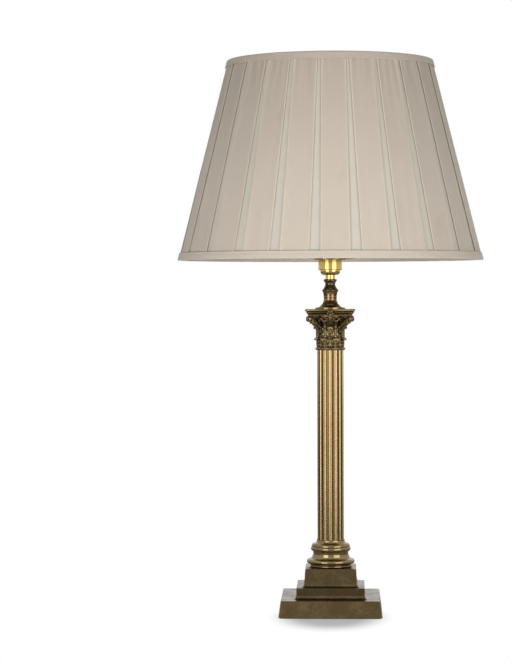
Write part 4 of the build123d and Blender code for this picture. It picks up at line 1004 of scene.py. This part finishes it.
def carvedBrass():
    # The cast brass again, darker in the hollows and lighter on the ridges of the carving: partly rubbed
    # wear, partly a painted highlight.
    material, tree, shader, place = newMaterial("carvedBrass")
    values = dict(brassFinishes["castBrass"])
    values.pop("grain")
    age = groupNode(tree, brassTarnish, values)
    tree.links.new(place.outputs["Object"], age.inputs["Vector"])
    ridge = tree.nodes.new("ShaderNodeAttribute")
    ridge.attribute_name = "ridge"
    high = rangeNode(tree, ridge.outputs["Fac"], carvedAgeAndHighlight["brightFrom"], carvedAgeAndHighlight["brightTo"])
    low = rangeNode(tree, ridge.outputs["Fac"], carvedAgeAndHighlight["hollowFrom"], carvedAgeAndHighlight["hollowTo"], 1.0, 0.0)
    colour = mixColour(tree, high, age.outputs["Color"], carvedAgeAndHighlight["bright"])
    deep = mathNode(tree, "MULTIPLY", low, carvedAgeAndHighlight["hollowAmount"])
    colour = mixColour(tree, deep, colour, carvedAgeAndHighlight["hollow"])
    tree.links.new(colour, shader.inputs["Base Color"])
    roughness = mathNode(tree, "MULTIPLY_ADD", low, carvedAgeAndHighlight["rougher"], age.outputs["Roughness"])
    tree.links.new(roughness, shader.inputs["Roughness"])
    shader.inputs["Metallic"].default_value = 1.0
    bumpInto(tree, shader, age.outputs["Height"], carvedAgeAndHighlight["bump"])
    return material


def markRidges(piece, spread):
    # How far each point stands out of its neighbours, kept on the mesh for the finish to read.
    mesh = piece.data
    around = [[] for _ in mesh.vertices]
    for edge in mesh.edges:
        first, second = edge.vertices
        around[first].append(second)
        around[second].append(first)
    height = []
    for vertex in mesh.vertices:
        near = around[vertex.index]
        middle = sum((mesh.vertices[other].co for other in near), Vector()) / len(near)
        height.append((vertex.co - middle).dot(vertex.normal))
    for _ in range(2):
        height = [(value + sum(height[other] for other in near)) / (len(near) + 1)
                  for value, near in zip(height, around)]
    layer = mesh.attributes.new("ridge", "FLOAT", "POINT")
    for index, value in enumerate(height):
        layer.data[index].value = min(max(0.5 + value / spread, 0.0), 1.0)


carvedFinish = carvedBrass()
halfStep = math.pi / leaf["count"]
lowerLeaf = repeatRound(acanthusLeaf("lowerLeaf", leaf["lower"]), leaf["count"], halfStep, carvedFinish)
upperLeaf = repeatRound(acanthusLeaf("upperLeaf", leaf["upper"]), leaf["count"], 0.0, carvedFinish)
stems = repeatRound(sheathStem(), leaf["count"], halfStep, carvedFinish)
scrolls = repeatRound(cornerScroll(), 4, math.pi / 4, carvedFinish)
flowers = repeatRound(sideFlower(), 4, 0.0, carvedFinish)
capital = joined("capitalCasting", [bellCore(), abacusSlab(), lowerLeaf, upperLeaf, stems, scrolls, flowers])
coat(capital, carvedFinish)
markRidges(capital, carvedAgeAndHighlight["ridgeSpread"])
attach(capital, "base")
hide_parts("capital")
print("capital", len(capital.data.polygons), "faces")


# The shade: pleated cover, bands and lining.

bandLow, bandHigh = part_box("shade_band_bottom")
topLow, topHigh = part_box("shade_band_top")
coverLow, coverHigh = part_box("shade_cover")
shade = {
    "pleats": 24,
    "turn": math.radians(2.5),
    "stripBottom": 14.4 * mm,
    "stripTop": 4.8 * mm,
    "depth": 1.8 * mm,
    "cover": 0.35 * mm,         # thickness of the cloth
    "insetOfCover": 1.3 * mm,
    "foldTuck": 2.6 * mm,       # how far a strip runs on under a panel
    "rows": 44,
    "slopeHeight": 0.265,       # of the cloth as it lies on the cone
}
shadeBase = bandLow[2]
bottomRadius = bandHigh[0]
slope = (bottomRadius - topHigh[0]) / (topLow[2] - shadeBase)
slant = math.hypot(1, slope)


def coneRadius(level, inset=0.0):
    return bottomRadius - slope * (level - shadeBase) - inset * slant


def drift(seed, along, size):
    # A slow wander between -1 and 1 along a fold.
    return noise.noise(Vector((seed * 7.31, along * size, 2.7)))


def pleatedCover():
    # Every pleat: a recessed strip, a fold that tucks under, and a flat panel with a soft crown.
    rows = shade["rows"]
    pitch = math.tau / shade["pleats"]
    points, uvs, tones = [], [], []
    # Tone of each point from the strip's middle to the panel: strip, painted highlight on the fold edge, and
    # painted shade under the fold.
    edgeTones = [(1, 0, 0), (1, 0, 0.1), (0.6, 0, 0.8), (0, 0, 1), (0, 0, 1), (0, 0, 0.9), (0, 0, 0.6),
                 (0, 0.4, 0.1), (0, 1, 0), (0, 0.9, 0), (0, 0.15, 0)]
    depth = shade["depth"]
    for row in range(rows):
        share = row / (rows - 1)
        level = coverLow[2] + (coverHigh[2] - coverLow[2]) * share
        crest = coneRadius(level, shade["insetOfCover"])
        strip = shade["stripBottom"] + (shade["stripTop"] - shade["stripBottom"]) * share
        tuck = shade["foldTuck"] * (1 - 0.35 * share)
        halfPitch = crest * pitch / 2
        for pleat in range(shade["pleats"]):
            middle = shade["turn"] + pitch * (pleat + 0.5)
            left = strip / 2 + 0.7 * mm * drift(pleat, level, 9.0)
            right = strip / 2 + 0.7 * mm * drift(pleat + 40, level, 9.0)
            lift = 0.25 * mm * drift(pleat + 80, level, 14.0)
            pucker = max(0.0, (share - 0.62) / 0.38) ** 2 * (0.55 + 0.45 * drift(pleat + 120, 0.3, 5.0))
            outline = []
            for side, half in ((-1, left), (1, right)):
                edge = [
                    (0.5 * half, -depth + 0.1 * mm), (half, -depth), (half + tuck * 0.6, -depth + 0.1 * mm),
                    (half + tuck, -depth + 0.45 * mm), (half + tuck * 0.8, -depth + 0.8 * mm),
                    (half + 0.9 * mm, -0.85 * mm + lift), (half + 0.1 * mm, -0.7 * mm + lift),
                    (half - 0.35 * mm, -0.4 * mm + lift), (half - 0.2 * mm, -0.08 * mm + lift),
                    (half + 0.35 * mm, 0.1 * mm + lift), (half + 1.2 * mm, 0.05 * mm + lift),
                ]
                panel = []
                for stop in range(1, 10):
                    part = stop / 10
                    across = half + 1.2 * mm + (halfPitch - half - 1.2 * mm) * part
                    sag = crest * (1 - math.cos((halfPitch - across) / crest))
                    flat = crest * (1 - math.cos((halfPitch - half) / crest))
                    wave = 0.45 * mm * noise.noise(Vector((pleat * 3.3 + side * part * 1.4, level * 11, 9.1)))
                    ripple = math.sin(across / mm * 0.5 + pleat * 1.7 + 1.5 * drift(pleat, level, 30.0))
                    gather = 1.1 * mm * pucker * ripple
                    panel.append((across, sag - flat + wave + gather - 0.35 * mm * pucker))
                # The panel gets painted shade that deepens where it gathers near the top.
                halfLine = list(zip(edge + panel, edgeTones + [(0, 0, 0.35 * pucker)] * len(panel)))
                if side < 0:
                    outline = [(-across, out, tone) for (across, out), tone in reversed(halfLine)]
                    outline.append((0.0, -depth + 0.15 * mm, (1, 0, 0)))
                else:
                    outline += [(across, out, tone) for (across, out), tone in halfLine]
            for across, out, tone in outline:
                tones.append(tone)
                angle = middle + across / crest
                radius = crest + out
                points.append(onCircle(radius, angle, level))
                uvs.append((pleat * halfPitch * 2 + across, (level - shadeBase) * slant))
    columns = len(points) // rows
    piece = makeMesh("shadeCover", points, gridFaces(rows, columns, closed=True), uvs)
    layer = piece.data.attributes.new("fold", "FLOAT_VECTOR", "POINT")
    for index, tone in enumerate(tones):
        layer.data[index].vector = tone
    return thickened(piece, shade["cover"], cloth["pleatedCloth"])


shadeCover = pleatedCover()
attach(shadeCover, "shade")
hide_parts("shade_cover")

trim = {
    "width": 0.8 * mm,          # thickness of the folded strip
    "legInset": 0.5 * mm,       # middle of the outer leg, behind the cone's face
    "innerInset": 9.45 * mm,
    "middleInset": 5 * mm,
    "fold": 0.45 * mm,          # middle of the web, in from the rim
    "bead": 0.22 * mm,
    "wobble": 0.16 * mm,
    "segments": 480,
}


def foldedBand(name, rim, tall, upward, beads, seed):
    # A strip folded over a rim: outer leg, web round the rim, inner leg.
    # Beads are (place, size) on the outer leg.
    half = trim["width"] / 2
    outer, inner, web = trim["legInset"], trim["innerInset"], trim["fold"]
    end = tall - half
    path = [(outer, end - end * step / 16) for step in range(15)]
    path += [(outer + 0.1 * mm, web + 0.35 * mm), (outer + 0.45 * mm, web)]
    path += [(outer + (inner - outer) * step / 6, web) for step in range(1, 6)]
    path += [(inner - 0.35 * mm, web), (inner, web + 0.45 * mm)]
    path += [(inner, web + (end - web) * step / 6) for step in range(1, 7)]
    front, back = [], []
    for place, (inset, height) in enumerate(path):
        before, after = path[max(place - 1, 0)], path[min(place + 1, len(path) - 1)]
        along = Vector((after[0] - before[0], after[1] - before[1])).normalized()
        side = Vector((along.y, -along.x))
        lift = 0.0
        if place < 15:
            for middle, size in beads:
                lift += size * math.exp(-((height / tall - middle) / 0.075) ** 2)
        front.append((inset + side.x * (half + lift), height + side.y * (half + lift)))
        back.append((inset - side.x * half, height - side.y * half))
    loop = front + [(inner, end + half * 0.8)] + back[::-1] + [(outer, end + half * 0.8)]
    points, uvs = [], []
    count = trim["segments"]
    run = 0.0
    for place, (inset, height) in enumerate(loop):
        if place:
            run += math.dist(loop[place - 1], (inset, height))
        for step in range(count):
            angle = math.tau * step / count
            x, y = math.cos(angle), math.sin(angle)
            sway = trim["wobble"] * noise.noise(Vector((3 * x + seed, 3 * y, height * 90)))
            ripple = 0.5 * trim["wobble"] * noise.noise(Vector((22 * x, 22 * y, seed)))
            tuck = max(inset + sway + ripple, 0.02 * mm) if inset < 4 * mm else inset
            level = rim + height * upward
            radius = coneRadius(level, tuck)
            points.append((radius * x, radius * y, level))
            uvs.append((angle * bottomRadius, run))
    piece = coat(outward(makeMesh(name, points, loopFaces(len(loop), count), uvs)), cloth["bandCloth"])
    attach(piece, "shade")
    around = math.tau * coneRadius(rim, trim["middleInset"])
    return piece, (sheetArea(piece) / around, around)


bandBottom, bottomFlat = foldedBand("bandBottom", bandLow[2], bandHigh[2] - bandLow[2], 1,
                                    [(0.9, trim["bead"]), (0.5, trim["bead"] * 0.7)], 1.3)
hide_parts("shade_band_bottom")
bandTop, topFlat = foldedBand("bandTop", topHigh[2], topHigh[2] - topLow[2], -1,
                              [(0.88, trim["bead"]), (0.3, trim["bead"] * 1.6)], 5.1)
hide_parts("shade_band_top")

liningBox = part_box("shade_lining")
lining = {
    "inset": 8.1 * mm,
    "cloth": 0.45 * mm,
    "seams": 12,
    "pull": 0.22 * mm,
    "columns": 360,
    "rows": 34,
}


def liningCone():
    # Cloth stretched down the inside of the frame, drawn a little at each seam.
    points, uvs = [], []
    low, high = liningBox[0][2] + 0.2 * mm, liningBox[1][2] - 0.2 * mm
    for row in range(lining["rows"]):
        level = low + (high - low) * row / (lining["rows"] - 1)
        for column in range(lining["columns"]):
            angle = math.tau * column / lining["columns"]
            seam = abs(math.sin(angle * lining["seams"] / 2)) ** 0.35
            loose = 0.12 * mm * noise.noise(Vector((9 * math.cos(angle), 9 * math.sin(angle), level * 25)))
            radius = coneRadius(level, lining["inset"] + lining["pull"] * (1 - seam) + loose)
            points.append(onCircle(radius, angle, level))
            uvs.append((angle * bottomRadius, level * slant))
    piece = makeMesh("shadeLining", points, gridFaces(lining["rows"], lining["columns"], closed=True), uvs)
    return thickened(piece, lining["cloth"], cloth["liningCloth"])


shadeLining = liningCone()
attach(shadeLining, "shade")
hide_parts("shade_lining")
print("bands and lining")

padLow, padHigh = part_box("baize_pad")
felt = {
    "corner": 3.0 * mm,
    "steps": 40,
    "fray": 0.25 * mm,
    "nap": 0.08 * mm,
}


def feltPad():
    # A square of felt: slightly frayed edges and a nap that rises and falls.
    side = (padHigh[0] - padLow[0]) / 2 - felt["fray"]
    steps = felt["steps"]
    points, uvs = [], []
    for layer in range(2):
        for row in range(steps + 1):
            for column in range(steps + 1):
                x = -side + 2 * side * column / steps
                y = -side + 2 * side * row / steps
                overX, overY = max(abs(x) - side + felt["corner"], 0), max(abs(y) - side + felt["corner"], 0)
                over = math.hypot(overX, overY)
                if over > felt["corner"]:
                    pull = felt["corner"] / over
                    x -= math.copysign(overX * (1 - pull), x)
                    y -= math.copysign(overY * (1 - pull), y)
                if row in (0, steps) or column in (0, steps):
                    fray = felt["fray"] * noise.noise(Vector((x * 400, y * 400, layer * 3.0)))
                    x += math.copysign(fray, x)
                    y += math.copysign(fray, y)
                nap = felt["nap"] * (1 + noise.noise(Vector((x * 300, y * 300, layer * 7.0))))
                points.append((x, y, padLow[2] + nap if layer == 0 else padHigh[2] - 0.02 * mm))
                uvs.append((x, y))
    count = (steps + 1) ** 2
    bottom = gridFaces(steps + 1, steps + 1)
    faces = [tuple(reversed(face)) for face in bottom]
    faces += [tuple(corner + count for corner in face) for face in bottom]
    edge = list(range(steps + 1))
    edge += [row * (steps + 1) + steps for row in range(1, steps + 1)]
    edge += [steps * (steps + 1) + column for column in range(steps - 1, -1, -1)]
    edge += [row * (steps + 1) for row in range(steps - 1, 0, -1)]
    for place, first in enumerate(edge):
        second = edge[(place + 1) % len(edge)]
        faces.append((first, second, second + count, first + count))
    piece = coat(outward(makeMesh("baizeFelt", points, faces, uvs)), baizeFinish)
    return piece, (2 * side, 2 * side)


baizeFelt, feltFlat = feltPad()
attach(baizeFelt, "base")
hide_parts("baize_pad")
print("felt pad")


# Stage: floor, lights, world and camera.

stageValues = {
    "floorSize": 14.0,
    "aim": (0, 0, 0.42),
    # A light's turn is in degrees round the lamp from its front, and shown says whether metal reflects it.
    "lights": [
        {"name": "softboxLeft", "turn": -31, "distance": 1.55, "level": 0.42, "size": (0.8, 1.1),
         "power": 9.0, "shown": True},
        {"name": "softboxRight", "turn": 41, "distance": 1.55, "level": 0.42, "size": (1.05, 1.1),
         "power": 10.5, "shown": True},
        {"name": "lowFill", "turn": -12, "distance": 1.15, "level": 0.06, "size": (1.3, 0.3),
         "power": 3.6, "shown": False},
        {"name": "backFill", "turn": 180, "distance": 2.2, "level": 0.9, "size": (2.2, 2.2),
         "power": 14.0, "shown": False},
    ],
    "frontGlow": 0.13,
    "backGlow": 1.0,
    "glowFrom": 0.84,           # how squarely a direction points to the back
    "glowTo": 0.97,
    # The painted shadow on the floor in front of the plinth.
    "paintedShadowPlace": (0, -0.05, 0),
    "paintedShadowSize": (0.085, 0.14, 1.0),
    "paintedShadowEdge": (0.4, 1.0),
    "paintedShadowShare": 0.2,
}


def floorMaterial():
    material, tree, shader, place = newMaterial("paleFloor")
    patch = noiseNode(tree, place.outputs["Object"], 1.5, 2.0)
    paper = mixColour(tree, patch, (0.92, 0.92, 0.93, 1), (0.95, 0.95, 0.95, 1))
    tree.links.new(paper, shader.inputs["Base Color"])
    setSockets(shader, {"Roughness": 0.9, "Specular IOR Level": 0.1})
    glow = tree.nodes.new("ShaderNodeEmission")
    glow.inputs["Strength"].default_value = 1.0
    path = tree.nodes.new("ShaderNodeLightPath")
    mix = tree.nodes.new("ShaderNodeMixShader")
    # The paper is bleached white for the camera except in a patch just in front of the plinth, which is left
    # grey as a painted shadow.
    paintedShadowPlace = tree.nodes.new("ShaderNodeMapping")
    paintedShadowPlace.vector_type = "TEXTURE"
    paintedShadowPlace.inputs["Location"].default_value = stageValues["paintedShadowPlace"]
    paintedShadowPlace.inputs["Scale"].default_value = stageValues["paintedShadowSize"]
    tree.links.new(place.outputs["Object"], paintedShadowPlace.inputs["Vector"])
    reach = tree.nodes.new("ShaderNodeVectorMath")
    reach.operation = "LENGTH"
    tree.links.new(paintedShadowPlace.outputs["Vector"], reach.inputs[0])
    inner, outer = stageValues["paintedShadowEdge"]
    bleachOutsideShadow = rangeNode(tree, reach.outputs["Value"], inner, outer, stageValues["paintedShadowShare"], 1.0)
    share = mathNode(tree, "MULTIPLY", path.outputs["Is Camera Ray"], bleachOutsideShadow)
    tree.links.new(share, mix.inputs["Fac"])
    tree.links.new(shader.outputs[0], mix.inputs[1])
    tree.links.new(glow.outputs[0], mix.inputs[2])
    tree.links.new(mix.outputs[0], tree.nodes["Material Output"].inputs["Surface"])
    return material


floorLevel = cadBox[0][2]
half = stageValues["floorSize"] / 2
corners = [(-half, -half), (half, -half), (half, half), (-half, half)]
floor = makeMesh("floor", [(x, y, floorLevel) for x, y in corners], [(0, 1, 2, 3)], smooth=False)
coat(floor, floorMaterial())

for values in stageValues["lights"]:
    light = bpy.data.lights.new(values["name"], "AREA")
    light.shape = "RECTANGLE"
    light.size, light.size_y = values["size"]
    light.energy = values["power"]
    holder = bpy.data.objects.new(values["name"], light)
    turn = math.radians(values["turn"])
    out = values["distance"]
    holder.location = (out * math.sin(turn), -out * math.cos(turn), values["level"])
    aim = Vector(stageValues["aim"]) - holder.location
    holder.rotation_euler = aim.to_track_quat("-Z", "Y").to_euler()
    holder.visible_glossy = values["shown"]
    holder.visible_transmission = values["shown"]
    bpy.context.scene.collection.objects.link(holder)

world = bpy.data.worlds.new("studio")
bpy.context.scene.world = world
world.use_nodes = True
tree = world.node_tree
background = tree.nodes["Background"]
direction = tree.nodes.new("ShaderNodeTexCoord")
backwards = splitNode(tree, direction.outputs["Generated"])["Y"]
backShare = rangeNode(tree, backwards, stageValues["glowFrom"], stageValues["glowTo"])
frontTone, backTone = ((stageValues[key],) * 3 + (1,) for key in ("frontGlow", "backGlow"))
around = mixColour(tree, backShare, frontTone, backTone)
# The camera, reflections and glass see plain white.
path = tree.nodes.new("ShaderNodeLightPath")
clear = mathNode(tree, "MAXIMUM", path.outputs["Is Camera Ray"], path.outputs["Is Glossy Ray"])
clear = mathNode(tree, "MAXIMUM", clear, path.outputs["Is Transmission Ray"])
seen = mixColour(tree, clear, around, (1, 1, 1, 1))
tree.links.new(seen, background.inputs["Color"])

view = {
    "width": 512,
    "height": 663,
    "sensor": 36.0,
    "distance": 3.0,
    "eye": 0.422,
    "turn": 0.5,             # degrees round the lamp from its front
    "focal": 2300.0,         # in pixels of the 663 pixel side
    "lampAt": 330.2,         # where the lamp's axis stands across the picture
    "horizonAt": 289.1,
    "roll": 0.15,
}
camera = bpy.data.objects.new("camera", bpy.data.cameras.new("camera"))
bpy.context.scene.collection.objects.link(camera)
camera.data.sensor_width = view["sensor"]
camera.data.lens = view["focal"] / view["height"] * view["sensor"]
turn = math.radians(view["turn"])
camera.location = (view["distance"] * math.sin(turn), -view["distance"] * math.cos(turn), view["eye"])
sideways = math.atan((view["lampAt"] - view["width"] / 2) / view["focal"])
down = math.atan((view["height"] / 2 - view["horizonAt"]) / view["focal"])
camera.rotation_euler = Euler((math.pi / 2 - down, math.radians(view["roll"]), turn + sideways), "XYZ")
bpy.context.scene.camera = camera
bpy.context.scene.view_settings.view_transform = "Standard"
print("stage set")
